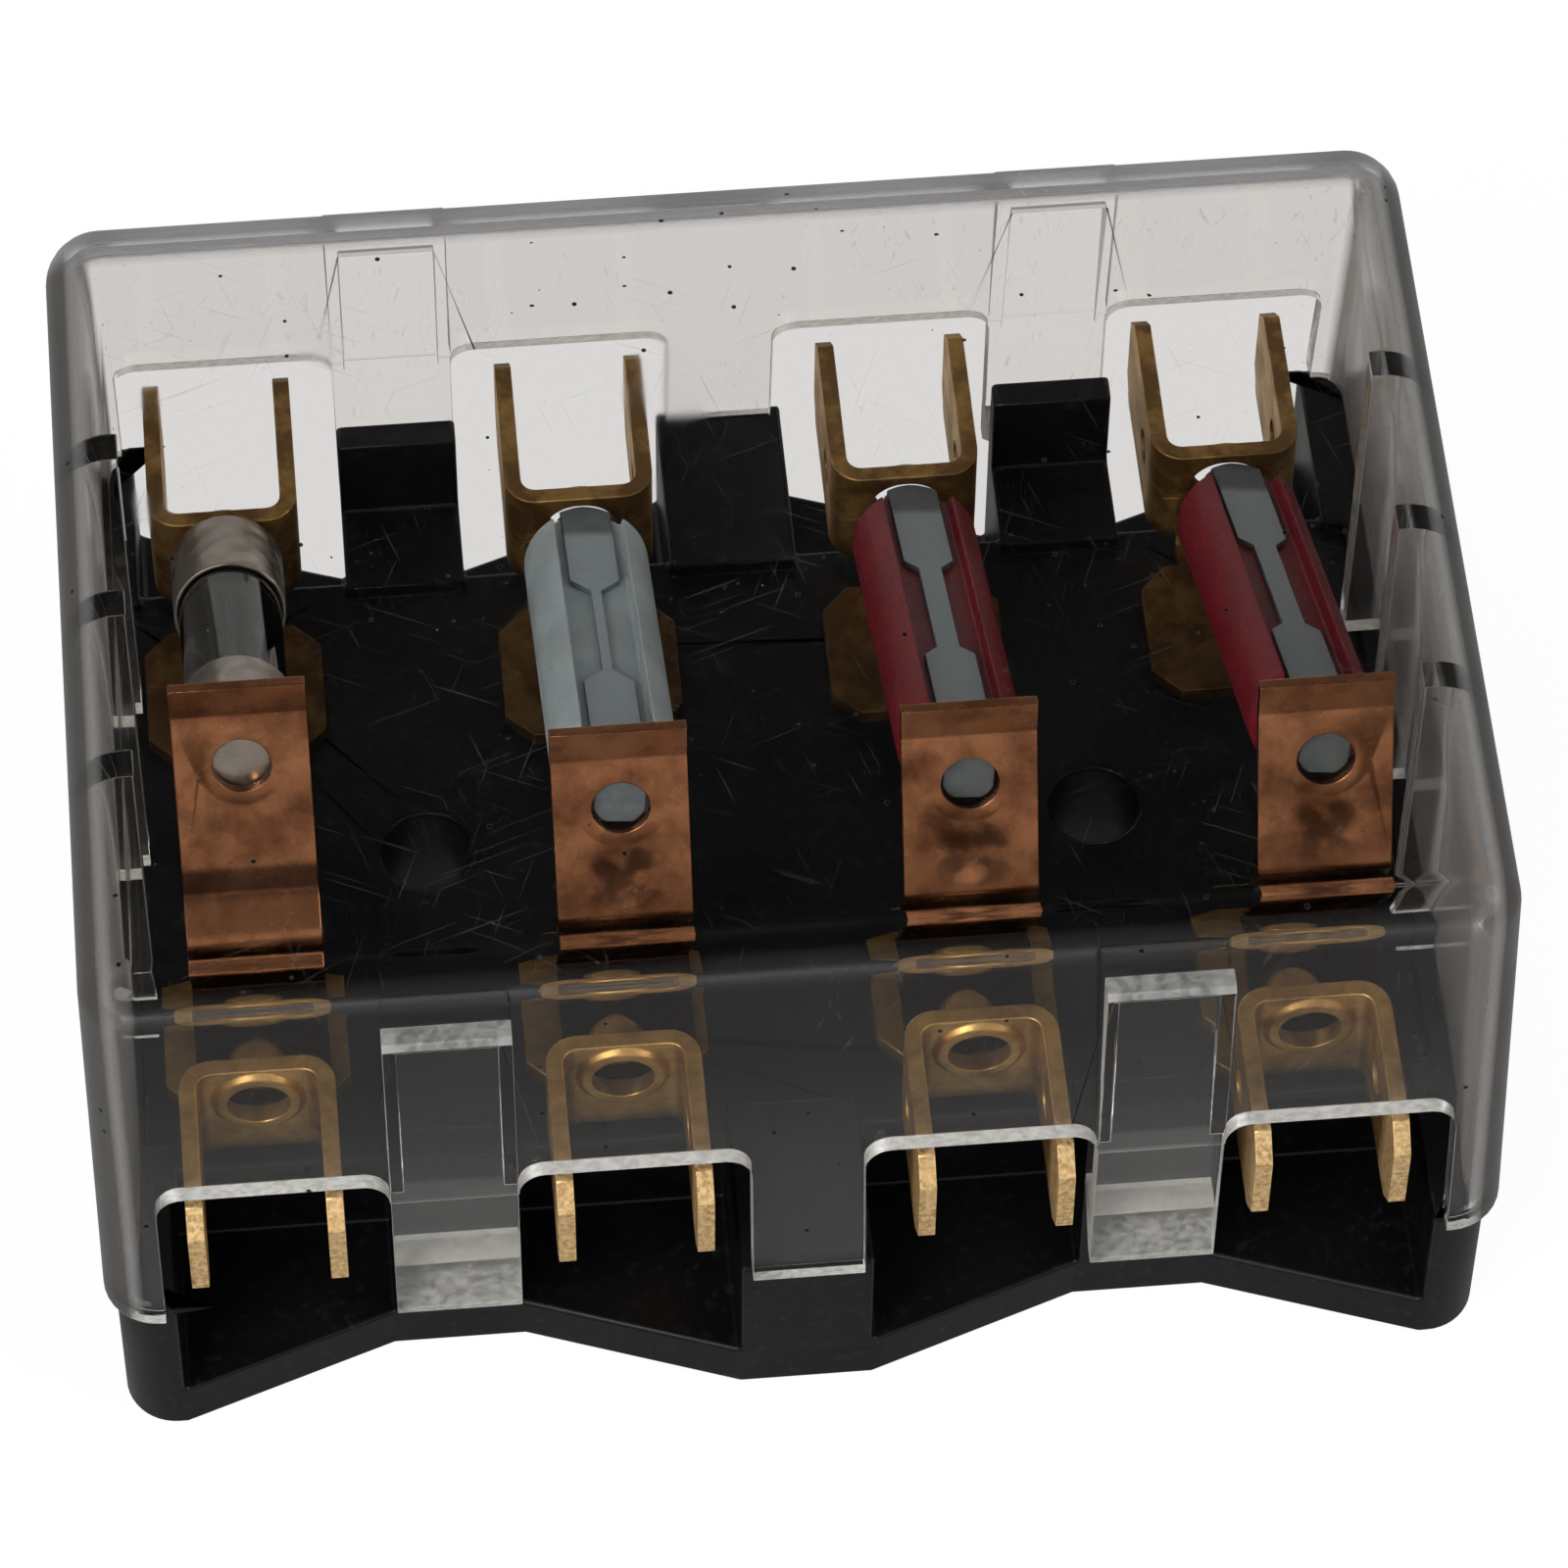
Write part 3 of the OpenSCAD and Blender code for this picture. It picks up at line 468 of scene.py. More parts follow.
def rubbed_acrylic(colours):
    """Acrylic edges, rubbed dull by the mould's parting line and by handling: pale grey and cloudy."""
    material = empty_material("rubbed acrylic edge")
    tree = material.node_tree
    place = add(tree, "ShaderNodeTexCoord")
    # The rubbing is uneven over about 0.5 mm
    nicks = add(tree, "ShaderNodeTexNoise", {"Scale": per_mm(0.5), "Detail": 4.0, "Roughness": 0.6},
                {"Vector": place.outputs["Object"]})
    clear = add(tree, "ShaderNodeMapRange",
                {"From Min": 0.35, "From Max": 0.65, "To Min": 0.35, "To Max": 0.75},
                {"Value": nicks.outputs["Fac"]})
    bump = add(tree, "ShaderNodeBump", {"Strength": 0.3, "Distance": 0.05 * MM},
               {"Height": nicks.outputs["Fac"]})
    edge = add(tree, "ShaderNodeBsdfPrincipled",
               {"IOR": 1.49, "Roughness": 0.42, "Base Color": opaque(colours.cover_edge)},
               {"Transmission Weight": clear.outputs["Result"], "Normal": bump.outputs["Normal"]})
    add(tree, "ShaderNodeOutputMaterial", None, {"Surface": edge.outputs["BSDF"]})
    return material


def rolled_brass(colours):
    """Rolled and sheared brass, aged: yellow metal under a patchy brown film, grainy and pale at the front
    blades' tips, with a painted reflection on the rear blades' faces and painted shade on the foot plates.
    """
    material = empty_material("rolled aged brass")
    tree = material.node_tree
    place = add(tree, "ShaderNodeTexCoord")
    # The film lies in clouds of 1 to 3 mm
    clouds = add(tree, "ShaderNodeTexNoise", {"Scale": per_mm(2.2), "Detail": 6.0, "Roughness": 0.65},
                 {"Vector": place.outputs["Object"]})
    thin = add(tree, "ShaderNodeMapRange",
               {"From Min": 0.38, "From Max": 0.66, "To Min": 0.05, "To Max": 0.8},
               {"Value": clouds.outputs["Fac"]})
    # It is thicker on the rear terminals
    parts = add(tree, "ShaderNodeSeparateXYZ", None, {"Vector": place.outputs["Object"]})
    thick = add(tree, "ShaderNodeMapRange",
                {"From Min": REAR_FILM_Y[0], "From Max": REAR_FILM_Y[1], "To Max": 0.5},
                {"Value": parts.outputs["Y"]})
    film = add(tree, "ShaderNodeMath", {"operation": "ADD", "use_clamp": True},
               {0: thin.outputs["Result"], 1: thick.outputs["Result"]})
    colour = add(tree, "ShaderNodeMix",
                 {"data_type": "RGBA", 6: opaque(colours.brass), 7: opaque(colours.brass_patina)},
                 {0: film.outputs["Value"]})
    # The foot plates, low down under the springs, are darkened: painted shade
    foot = add(tree, "ShaderNodeMapRange",
               {"From Min": FOOT_SHADE_Z[0], "From Max": FOOT_SHADE_Z[1], "To Max": 0.65},
               {"Value": parts.outputs["Z"]})
    colour = add(tree, "ShaderNodeMix", {"data_type": "RGBA", 7: opaque(colours.foot_plate_shade)},
                 {0: foot.outputs["Result"], 6: colour.outputs[2]})
    # The rear blades' broad faces, turned to the pale room at the sides, are painted pale where the film is
    # thin: painted reflection
    facing = add(tree, "ShaderNodeSeparateXYZ", None, {"Vector": place.outputs["Normal"]})
    broad = add(tree, "ShaderNodeMath", {"operation": "ABSOLUTE"}, {0: facing.outputs["X"]})
    flat = add(tree, "ShaderNodeMapRange", {"From Min": 0.8, "From Max": 0.95, "To Max": 0.8},
               {"Value": broad.outputs["Value"]})
    blade = add(tree, "ShaderNodeMapRange", {"From Min": REAR_BLADE_Y[0], "From Max": REAR_BLADE_Y[1]},
                {"Value": parts.outputs["Y"]})
    faced = add(tree, "ShaderNodeMath", {"operation": "MULTIPLY"},
                {0: flat.outputs["Result"], 1: blade.outputs["Result"]})
    patchy = add(tree, "ShaderNodeMapRange", {"To Min": 1.0, "To Max": 0.25},
                 {"Value": thin.outputs["Result"]})
    wear_and_reflection = add(tree, "ShaderNodeMath", {"operation": "MULTIPLY"},
               {0: faced.outputs["Value"], 1: patchy.outputs["Result"]})
    colour = add(tree, "ShaderNodeMix", {"data_type": "RGBA", 7: opaque(colours.pale_brass)},
                 {0: wear_and_reflection.outputs["Value"], 6: colour.outputs[2]})
    # The front blades' tips are pale and sandy over 0.3 mm
    tip = add(tree, "ShaderNodeMapRange",
              {"From Min": FRONT_TIP_Y[0], "From Max": FRONT_TIP_Y[1], "interpolation_type": "SMOOTHSTEP"},
              {"Value": parts.outputs["Y"]})
    sand = add(tree, "ShaderNodeTexNoise", {"Scale": per_mm(0.3), "Detail": 4.0, "Roughness": 0.7},
               {"Vector": place.outputs["Object"]})
    clean = add(tree, "ShaderNodeMapRange", {"From Min": 0.3, "From Max": 0.6},
                {"Value": sand.outputs["Fac"]})
    pale_tip = add(tree, "ShaderNodeMath", {"operation": "MULTIPLY"},
              {0: tip.outputs["Result"], 1: clean.outputs["Result"]})
    colour = add(tree, "ShaderNodeMix", {"data_type": "RGBA", 7: opaque(colours.pale_brass)},
                 {0: pale_tip.outputs["Value"], 6: colour.outputs[2]})
    solid = add(tree, "ShaderNodeMapRange", {"To Min": 0.92, "To Max": 0.5},
                {"Value": pale_tip.outputs["Value"]})
    gloss = add(tree, "ShaderNodeMapRange", {"To Min": 0.36, "To Max": 0.5},
                {"Value": film.outputs["Value"]})
    # Rolling lines run along the blades, drawn 0.12 mm apart so that they show
    rolled = add(tree, "ShaderNodeMapping", {"Scale": (per_mm(0.12), per_mm(5), per_mm(0.12))},
                 {"Vector": place.outputs["Object"]})
    lines = add(tree, "ShaderNodeTexNoise", {"Scale": 1.0, "Detail": 2.0},
                {"Vector": rolled.outputs["Vector"]})
    bump = add(tree, "ShaderNodeBump", {"Strength": 0.3, "Distance": 0.02 * MM},
               {"Height": lines.outputs["Fac"]})
    metal = add(tree, "ShaderNodeBsdfPrincipled", None,
                {"Base Color": colour.outputs[2], "Metallic": solid.outputs["Result"],
                 "Roughness": gloss.outputs["Result"], "Normal": bump.outputs["Normal"]})
    add(tree, "ShaderNodeOutputMaterial", None, {"Surface": metal.outputs["BSDF"]})
    return material


def rolled_copper(colours, way):
    """Rolled copper strip, bent and aged: orange metal with a soft shine, darker where the film is thick,
    with painted shade under the nose and above the short fuse's shelf.
    """
    material = empty_material(f"rolled aged copper {way}")
    tree = material.node_tree
    place = add(tree, "ShaderNodeTexCoord")
    clouds = add(tree, "ShaderNodeTexNoise", {"Scale": per_mm(2.6), "Detail": 6.0, "Roughness": 0.6},
                 {"Vector": place.outputs["Object"]})
    film = add(tree, "ShaderNodeMapRange",
               {"From Min": 0.4, "From Max": 0.7, "To Min": 0.1, "To Max": 0.9},
               {"Value": clouds.outputs["Fac"]})
    colour = add(tree, "ShaderNodeMix",
                 {"data_type": "RGBA", 6: opaque(colours.copper), 7: opaque(colours.copper_patina)},
                 {0: film.outputs["Result"]})
    gloss = add(tree, "ShaderNodeMapRange", {"To Min": 0.22, "To Max": 0.38},
                {"Value": film.outputs["Result"]})
    # A hollow of about 4 by 4 mm is pressed into the face below the seat hole, and holds tarnish
    about = add(tree, "ShaderNodeMapping",
                {"vector_type": "TEXTURE", "Location": HOLLOWS[way], "Rotation": (-FACE_LEAN, 0, 0),
                 "Scale": (2.1 * MM, 5 * MM, 2.1 * MM)}, {"Vector": place.outputs["Object"]})
    reach = add(tree, "ShaderNodeVectorMath", {"operation": "LENGTH"}, {0: about.outputs["Vector"]})
    dish = add(tree, "ShaderNodeMapRange",
               {"From Min": 1.0, "From Max": 0.35, "interpolation_type": "SMOOTHSTEP"},
               {"Value": reach.outputs["Value"]})
    # The dark lies along two crossed creases, uneven over 1 mm: tarnish, and painted dark reflection of the
    # pressed creases. It is faint on the short fuse's spring
    stain = add(tree, "ShaderNodeTexNoise", {"Scale": per_mm(1.1), "Detail": 2.0},
                {"Vector": place.outputs["Object"]})
    flank = add(tree, "ShaderNodeVectorMath", {"operation": "ABSOLUTE"}, {0: about.outputs["Vector"]})
    sides = add(tree, "ShaderNodeSeparateXYZ", None, {"Vector": flank.outputs["Vector"]})
    skew = add(tree, "ShaderNodeMath", {"operation": "SUBTRACT"},
               {0: sides.outputs["X"], 1: sides.outputs["Z"]})
    crease = add(tree, "ShaderNodeMath", {"operation": "ABSOLUTE"}, {0: skew.outputs["Value"]})
    uneven = add(tree, "ShaderNodeMath", {"operation": "MULTIPLY_ADD", 1: 1.8},
                 {0: stain.outputs["Fac"], 2: crease.outputs["Value"]})
    cross = add(tree, "ShaderNodeMapRange",
                {"From Min": 1.7, "From Max": 0.95, "To Max": 0.15 if way == SHORT_WAY else 0.75,
                 "interpolation_type": "SMOOTHSTEP"}, {"Value": uneven.outputs["Value"]})
    spread = add(tree, "ShaderNodeMapRange",
                 {"From Min": 1.35, "From Max": 0.7, "interpolation_type": "SMOOTHSTEP"},
                 {"Value": reach.outputs["Value"]})
    tarnish_and_shade = add(tree, "ShaderNodeMath", {"operation": "MULTIPLY"},
                  {0: cross.outputs["Result"], 1: spread.outputs["Result"]})
    # Under the nose, and in the bend above the short fuse's shelf, the copper is darkened with the tarnish
    # colour: painted shade
    parts = add(tree, "ShaderNodeSeparateXYZ", None, {"Vector": place.outputs["Object"]})
    below = add(tree, "ShaderNodeMapRange",
                {"From Min": NOSE_Z[way], "From Max": NOSE_Z[way] - 0.7 * MM, "To Max": 0.92,
                 "interpolation_type": "SMOOTHSTEP"},
                {"Value": parts.outputs["Z"]})
    dark = add(tree, "ShaderNodeMath", {"operation": "MAXIMUM"},
               {0: tarnish_and_shade.outputs["Value"], 1: below.outputs["Result"]})
    if way == SHORT_WAY:
        bend = add(tree, "ShaderNodeMath", {"operation": "SUBTRACT", 1: SHELF_BEND_Z},
                   {0: parts.outputs["Z"]})
        off = add(tree, "ShaderNodeMath", {"operation": "ABSOLUTE"}, {0: bend.outputs["Value"]})
        shaded = add(tree, "ShaderNodeMapRange",
                     {"From Min": 0.9 * MM, "From Max": 0.4 * MM, "To Max": 0.8,
                      "interpolation_type": "SMOOTHSTEP"}, {"Value": off.outputs["Value"]})
        dark = add(tree, "ShaderNodeMath", {"operation": "MAXIMUM"},
                   {0: dark.outputs["Value"], 1: shaded.outputs["Result"]})
    colour = add(tree, "ShaderNodeMix", {"data_type": "RGBA", 7: opaque(colours.tarnish_and_shade)},
                 {0: dark.outputs["Value"], 6: colour.outputs[2]})
    press = add(tree, "ShaderNodeBump",
                {"invert": True, "Strength": 0.12 if way == SHORT_WAY else 0.8, "Distance": 0.3 * MM},
                {"Height": dish.outputs["Result"]})
    # Handling leaves the thin strip wavy over 1 to 2 mm
    waves = add(tree, "ShaderNodeTexNoise", {"Scale": per_mm(1.7), "Detail": 2.0},
                {"Vector": place.outputs["Object"]})
    bump = add(tree, "ShaderNodeBump", {"Strength": 0.35, "Distance": 0.12 * MM},
               {"Height": waves.outputs["Fac"], "Normal": press.outputs["Normal"]})
    metal = add(tree, "ShaderNodeBsdfPrincipled", {"Metallic": 1.0},
                {"Base Color": colour.outputs[2], "Roughness": gloss.outputs["Result"],
                 "Normal": bump.outputs["Normal"]})
    add(tree, "ShaderNodeOutputMaterial", None, {"Surface": metal.outputs["BSDF"]})
    return material


def crimped_nickel(colours):
    """Nickel-plated brass cap, crimped on: grey satin metal with small dents."""
    material = empty_material("crimped nickel plate")
    tree = material.node_tree
    place = add(tree, "ShaderNodeTexCoord")
    dents = add(tree, "ShaderNodeTexVoronoi",
                {"Scale": per_mm(1.3), "feature": "SMOOTH_F1", "Smoothness": 0.5},
                {"Vector": place.outputs["Object"]})
    dull = add(tree, "ShaderNodeTexNoise", {"Scale": per_mm(0.8), "Detail": 5.0},
               {"Vector": place.outputs["Object"]})
    gloss = add(tree, "ShaderNodeMapRange",
                {"From Min": 0.35, "From Max": 0.65, "To Min": 0.26, "To Max": 0.46},
                {"Value": dull.outputs["Fac"]})
    bump = add(tree, "ShaderNodeBump", {"Strength": 0.5, "Distance": 0.25 * MM},
               {"Height": dents.outputs["Distance"]})
    metal = add(tree, "ShaderNodeBsdfPrincipled", {"Metallic": 1.0, "Base Color": opaque(colours.nickel)},
                {"Roughness": gloss.outputs["Result"], "Normal": bump.outputs["Normal"]})
    add(tree, "ShaderNodeOutputMaterial", None, {"Surface": metal.outputs["BSDF"]})
    return material


def drawn_glass(colours):
    """Drawn glass tube: clear, tinted grey and with reflections dimmed as painted shade, and with a hard
    shine that a film inside dulls in places.
    """
    material = empty_material("drawn glass tube")
    tree = material.node_tree
    place = add(tree, "ShaderNodeTexCoord")
    film = add(tree, "ShaderNodeTexNoise", {"Scale": per_mm(2.5), "Detail": 4.0},
               {"Vector": place.outputs["Object"]})
    gloss = add(tree, "ShaderNodeMapRange",
                {"From Min": 0.4, "From Max": 0.7, "To Min": 0.0, "To Max": 0.06},
                {"Value": film.outputs["Fac"]})
    # The grey tint and the reflections dimmed to about a third are painted shade for the dark box around the
    # tube
    wall = add(tree, "ShaderNodeBsdfPrincipled",
               {"IOR": 1.5, "Transmission Weight": 1.0, "Base Color": opaque(colours.tube),
                "Specular Tint": (0.35, 0.35, 0.35, 1.0)},
               {"Roughness": gloss.outputs["Result"]})
    passed = add(tree, "ShaderNodeBsdfTransparent", {"Color": opaque(linear("#dfe2e1"))})
    path = add(tree, "ShaderNodeLightPath")
    mixed = add(tree, "ShaderNodeMixShader", None,
                {0: path.outputs["Is Shadow Ray"], 1: wall.outputs["BSDF"], 2: passed.outputs["BSDF"]})
    add(tree, "ShaderNodeOutputMaterial", None, {"Surface": mixed.outputs["Shader"]})
    return material


def pressed_ceramic(name, colour):
    """Pressed and fired steatite, coloured through: a dense satin skin, chalky and pitted here and there."""
    material = empty_material(name)
    tree = material.node_tree
    place = add(tree, "ShaderNodeTexCoord")
    # The powder's grain is about 0.1 mm, drawn at 0.35 mm so that it shows
    grain = add(tree, "ShaderNodeTexNoise", {"Scale": per_mm(0.35), "Detail": 4.0, "Roughness": 0.6},
                {"Vector": place.outputs["Object"]})
    stains = add(tree, "ShaderNodeTexNoise", {"Scale": per_mm(2.8), "Detail": 4.0, "Roughness": 0.6},
                 {"Vector": place.outputs["Object"]})
    shade = add(tree, "ShaderNodeMapRange",
                {"From Min": 0.3, "From Max": 0.7, "To Min": 0.78, "To Max": 1.1},
                {"Value": stains.outputs["Fac"]})
    tone = add(tree, "ShaderNodeHueSaturation", {"Color": opaque(colour)},
               {"Value": shade.outputs["Result"]})
    gloss = add(tree, "ShaderNodeMapRange",
                {"From Min": 0.3, "From Max": 0.7, "To Min": 0.38, "To Max": 0.58},
                {"Value": grain.outputs["Fac"]})
    bump = add(tree, "ShaderNodeBump", {"Strength": 0.4, "Distance": 0.06 * MM},
               {"Height": grain.outputs["Fac"]})
    body = add(tree, "ShaderNodeBsdfPrincipled", {"IOR": 1.55, "Specular IOR Level": 0.22},
               {"Base Color": tone.outputs["Color"], "Roughness": gloss.outputs["Result"],
                "Normal": bump.outputs["Normal"]})
    add(tree, "ShaderNodeOutputMaterial", None, {"Surface": body.outputs["BSDF"]})
    return material


def blanked_zinc(name, colour):
    """Blanked or drawn zinc: dull blue-grey metal with a fine bloom, and painted shade at the tips."""
    material = empty_material(name)
    tree = material.node_tree
    place = add(tree, "ShaderNodeTexCoord")
    bloom = add(tree, "ShaderNodeTexNoise", {"Scale": per_mm(0.7), "Detail": 6.0, "Roughness": 0.7},
                {"Vector": place.outputs["Object"]})
    shade = add(tree, "ShaderNodeMapRange",
                {"From Min": 0.3, "From Max": 0.7, "To Min": 0.85, "To Max": 1.1},
                {"Value": bloom.outputs["Fac"]})
    # The tips, down in the contacts' seats, are darkened: painted shade
    parts = add(tree, "ShaderNodeSeparateXYZ", None, {"Vector": place.outputs["Object"]})
    rear = add(tree, "ShaderNodeMapRange",
               {"From Min": REAR_SEAT_Y[0], "From Max": REAR_SEAT_Y[1], "To Max": 0.6},
               {"Value": parts.outputs["Y"]})
    front = add(tree, "ShaderNodeMapRange",
                {"From Min": FRONT_SEAT_Y[0], "From Max": FRONT_SEAT_Y[1], "To Max": 0.45},
                {"Value": parts.outputs["Y"]})
    tips = add(tree, "ShaderNodeMath", {"operation": "ADD"},
               {0: rear.outputs["Result"], 1: front.outputs["Result"]})
    value = add(tree, "ShaderNodeMath", {"operation": "SUBTRACT"},
                {0: shade.outputs["Result"], 1: tips.outputs["Value"]})
    tone = add(tree, "ShaderNodeHueSaturation", {"Color": opaque(colour)},
               {"Value": value.outputs["Value"]})
    gloss = add(tree, "ShaderNodeMapRange",
                {"From Min": 0.3, "From Max": 0.7, "To Min": 0.45, "To Max": 0.65},
                {"Value": bloom.outputs["Fac"]})
    bump = add(tree, "ShaderNodeBump", {"Strength": 0.2, "Distance": 0.03 * MM},
               {"Height": bloom.outputs["Fac"]})
    metal = add(tree, "ShaderNodeBsdfPrincipled", {"Metallic": 0.8},
                {"Base Color": tone.outputs["Color"], "Roughness": gloss.outputs["Result"],
                 "Normal": bump.outputs["Normal"]})
    add(tree, "ShaderNodeOutputMaterial", None, {"Surface": metal.outputs["BSDF"]})
    return material


class FUSEBOX_OT_base(bpy.types.Operator):
    """Finishes the black base"""

    bl_idname = "fusebox.base"
    bl_label = "Base"

    def execute(self, context):
        scene = context.scene
        merged_copy("base", "base_moulding", scene.fusebox_sizes.base_edge,
                    moulded_black_abs(scene.fusebox_colours))
        return {"FINISHED"}


def rubbed(place, normal):
    """Whether a face of the cover is an edge of its rim, cutouts or latches; place is in millimetres."""
    if place.z > TOP_Z or abs(place.x) > SIDE_X:
        return False
    wall = RIM_Y - WALL_SLOPE * (place.z - RIM_Z)
    # Above the rear cutouts only the latches' sides are rubbed, and above the front ones the inside is clear
    if place.z > CUTOUT_TOP - 0.4 and place.y > 0:
        return abs(normal.x) > 0.2 and abs(place.x) < CUTOUT_END
    if place.z > CUTOUT_TOP and place.y > 0.1 - wall:
        return False
    return abs(normal.z) > 0.6 or abs(normal.x) > 0.4 and abs(place.x) < CUTOUT_END


class FUSEBOX_OT_cover(bpy.types.Operator):
    """Finishes the clear cover"""

    bl_idname = "fusebox.cover"
    bl_label = "Cover"

    def execute(self, context):
        scene = context.scene
        cover = merged_copy("cover", "cover_moulding", scene.fusebox_sizes.cover_edge,
                            moulded_clear_acrylic(scene.fusebox_colours))
        cover.data.materials.append(rubbed_acrylic(scene.fusebox_colours))
        for face in cover.data.polygons:
            if rubbed(face.center / MM, face.normal):
                face.material_index = 1
        return {"FINISHED"}


class FUSEBOX_OT_terminals(bpy.types.Operator):
    """Finishes the eight brass terminals and their rivets"""

    bl_idname = "fusebox.terminals"
    bl_label = "Terminals and rivets"

    def execute(self, context):
        scene = context.scene
        brass = rolled_brass(scene.fusebox_colours)
        edge = scene.fusebox_sizes.brass_edge
        for end in ("rear", "front"):
            for way in WAYS:
                merged_copy(f"{end}_terminal_{way}", f"{end}_terminal_{way}_stamping", edge, brass)
            merged_copy(f"{end}_rivets", f"{end}_rivets_set", edge, brass)
        return {"FINISHED"}


class FUSEBOX_OT_springs(bpy.types.Operator):
    """Finishes the four copper contact springs"""

    bl_idname = "fusebox.springs"
    bl_label = "Contact springs"

    def execute(self, context):
        scene = context.scene
        edge = scene.fusebox_sizes.copper_edge
        for way in WAYS:
            copper = rolled_copper(scene.fusebox_colours, way)
            merged_copy(f"contact_spring_{way}", f"contact_spring_{way}_strip", edge, copper)
        return {"FINISHED"}


class FUSEBOX_OT_glass_fuse(bpy.types.Operator):
    """Finishes the glass fuse in the first way"""

    bl_idname = "fusebox.glass_fuse"
    bl_label = "Glass fuse"

    def execute(self, context):
        scene = context.scene
        colours = scene.fusebox_colours
        sizes = scene.fusebox_sizes
        nickel = crimped_nickel(colours)
        merged_copy("fuse_1_glass", "fuse_1_tube", sizes.fuse_edge, drawn_glass(colours))
        for end in ("rear", "front"):
            merged_copy(f"fuse_1_{end}_cap", f"fuse_1_{end}_ferrule", sizes.brass_edge, nickel)
        wire = blanked_zinc("drawn zinc wire", colours.element)
        merged_copy("fuse_1_wire", "fuse_1_filament", sizes.copper_edge, wire)
        return {"FINISHED"}


class FUSEBOX_OT_torpedo_fuses(bpy.types.Operator):
    """Finishes the white fuse and the two red ones"""

    bl_idname = "fusebox.torpedo_fuses"
    bl_label = "Torpedo fuses"

    def execute(self, context):
        scene = context.scene
        colours = scene.fusebox_colours
        sizes = scene.fusebox_sizes
        white = pressed_ceramic("pressed white ceramic", colours.white_ceramic)
        red = pressed_ceramic("pressed red ceramic", colours.red_ceramic)
        zinc = blanked_zinc("blanked zinc strip", colours.element)
        pale = blanked_zinc("pale blanked zinc strip", colours.element_pale)
        for way, ceramic, slot, strip in ((2, white, "white_ceramic", pale), (3, red, "red_ceramic", zinc),
                                          (4, red, "red_ceramic", zinc)):
            merged_copy(f"fuse_{way}_body", f"fuse_{way}_ceramic", sizes.fuse_edge, ceramic)
            merged_copy(f"fuse_{way}_element", f"fuse_{way}_strip", sizes.copper_edge, strip)
        return {"FINISHED"}


def studio_floor(colours):
    """Painted studio floor: white to the eye, with a faint shadow, and greyer in reflections."""
    material = empty_material("painted studio floor")
    tree = material.node_tree
    paint = add(tree, "ShaderNodeBsdfDiffuse", {"Color": opaque(colours.floor)})
    path = add(tree, "ShaderNodeLightPath")
    # Strength to the eye, through the cover and in reflections
    through = add(tree, "ShaderNodeMath",
                  {"operation": "MULTIPLY_ADD", 1: FLOOR_THROUGH - FLOOR_REFLECTED, 2: FLOOR_REFLECTED},
                  {0: path.outputs["Is Transmission Ray"]})
    level = add(tree, "ShaderNodeMath", {"operation": "MULTIPLY_ADD", 1: FLOOR_SEEN - FLOOR_REFLECTED},
                {0: path.outputs["Is Camera Ray"], 2: through.outputs["Value"]})
    glow = add(tree, "ShaderNodeEmission", None, {"Strength": level.outputs["Value"]})
    clear = add(tree, "ShaderNodeMath", {"operation": "MAXIMUM"},
                {0: path.outputs["Is Camera Ray"], 1: path.outputs["Is Transmission Ray"]})
    seen = add(tree, "ShaderNodeMath", {"operation": "MAXIMUM"},
               {0: clear.outputs["Value"], 1: path.outputs["Is Glossy Ray"]})
    # Only the eye sees the paint itself, and with it the shadow
    share = add(tree, "ShaderNodeMath", {"operation": "MULTIPLY_ADD", 1: -PAINT_SHARE},
                {0: path.outputs["Is Camera Ray"], 2: seen.outputs["Value"]})
    mixed = add(tree, "ShaderNodeMixShader", None,
                {0: share.outputs["Value"], 1: paint.outputs["BSDF"], 2: glow.outputs["Emission"]})
    add(tree, "ShaderNodeOutputMaterial", None, {"Surface": mixed.outputs["Shader"]})
    return material


def studio_world():
    """Soft room light: white low down all round and dim overhead, but plain white to the camera."""
    world = bpy.data.worlds.new("studio room")
    world.use_nodes = True
    tree = world.node_tree
    tree.nodes.clear()
    way = add(tree, "ShaderNodeTexCoord")
    height = add(tree, "ShaderNodeSeparateXYZ", None, {"Vector": way.outputs["Generated"]})
    fall = add(tree, "ShaderNodeMapRange",
               {"From Min": 0.4, "From Max": 0.8, "To Min": ROOM_LOW, "To Max": ROOM_OVERHEAD,
                "interpolation_type": "SMOOTHSTEP"},
               {"Value": height.outputs["Z"]})
    path = add(tree, "ShaderNodeLightPath")
    level = add(tree, "ShaderNodeMath", {"operation": "MAXIMUM"},
                {0: fall.outputs["Result"], 1: path.outputs["Is Camera Ray"]})
    room = add(tree, "ShaderNodeBackground", None, {"Strength": level.outputs["Value"]})
    add(tree, "ShaderNodeOutputWorld", None, {"Surface": room.outputs["Background"]})
    return world


def add_lamp(name, power, size, place):
    """A round soft lamp at place that faces the box."""
    bpy.ops.object.light_add(type="AREA", location=place)
    lamp = bpy.context.active_object
    lamp.name = name
    lamp.data.energy = power
    lamp.data.shape = "DISK"
    lamp.data.size = size
    lamp.rotation_euler = lamp.location.to_track_quat("Z", "Y").to_euler()
    return lamp


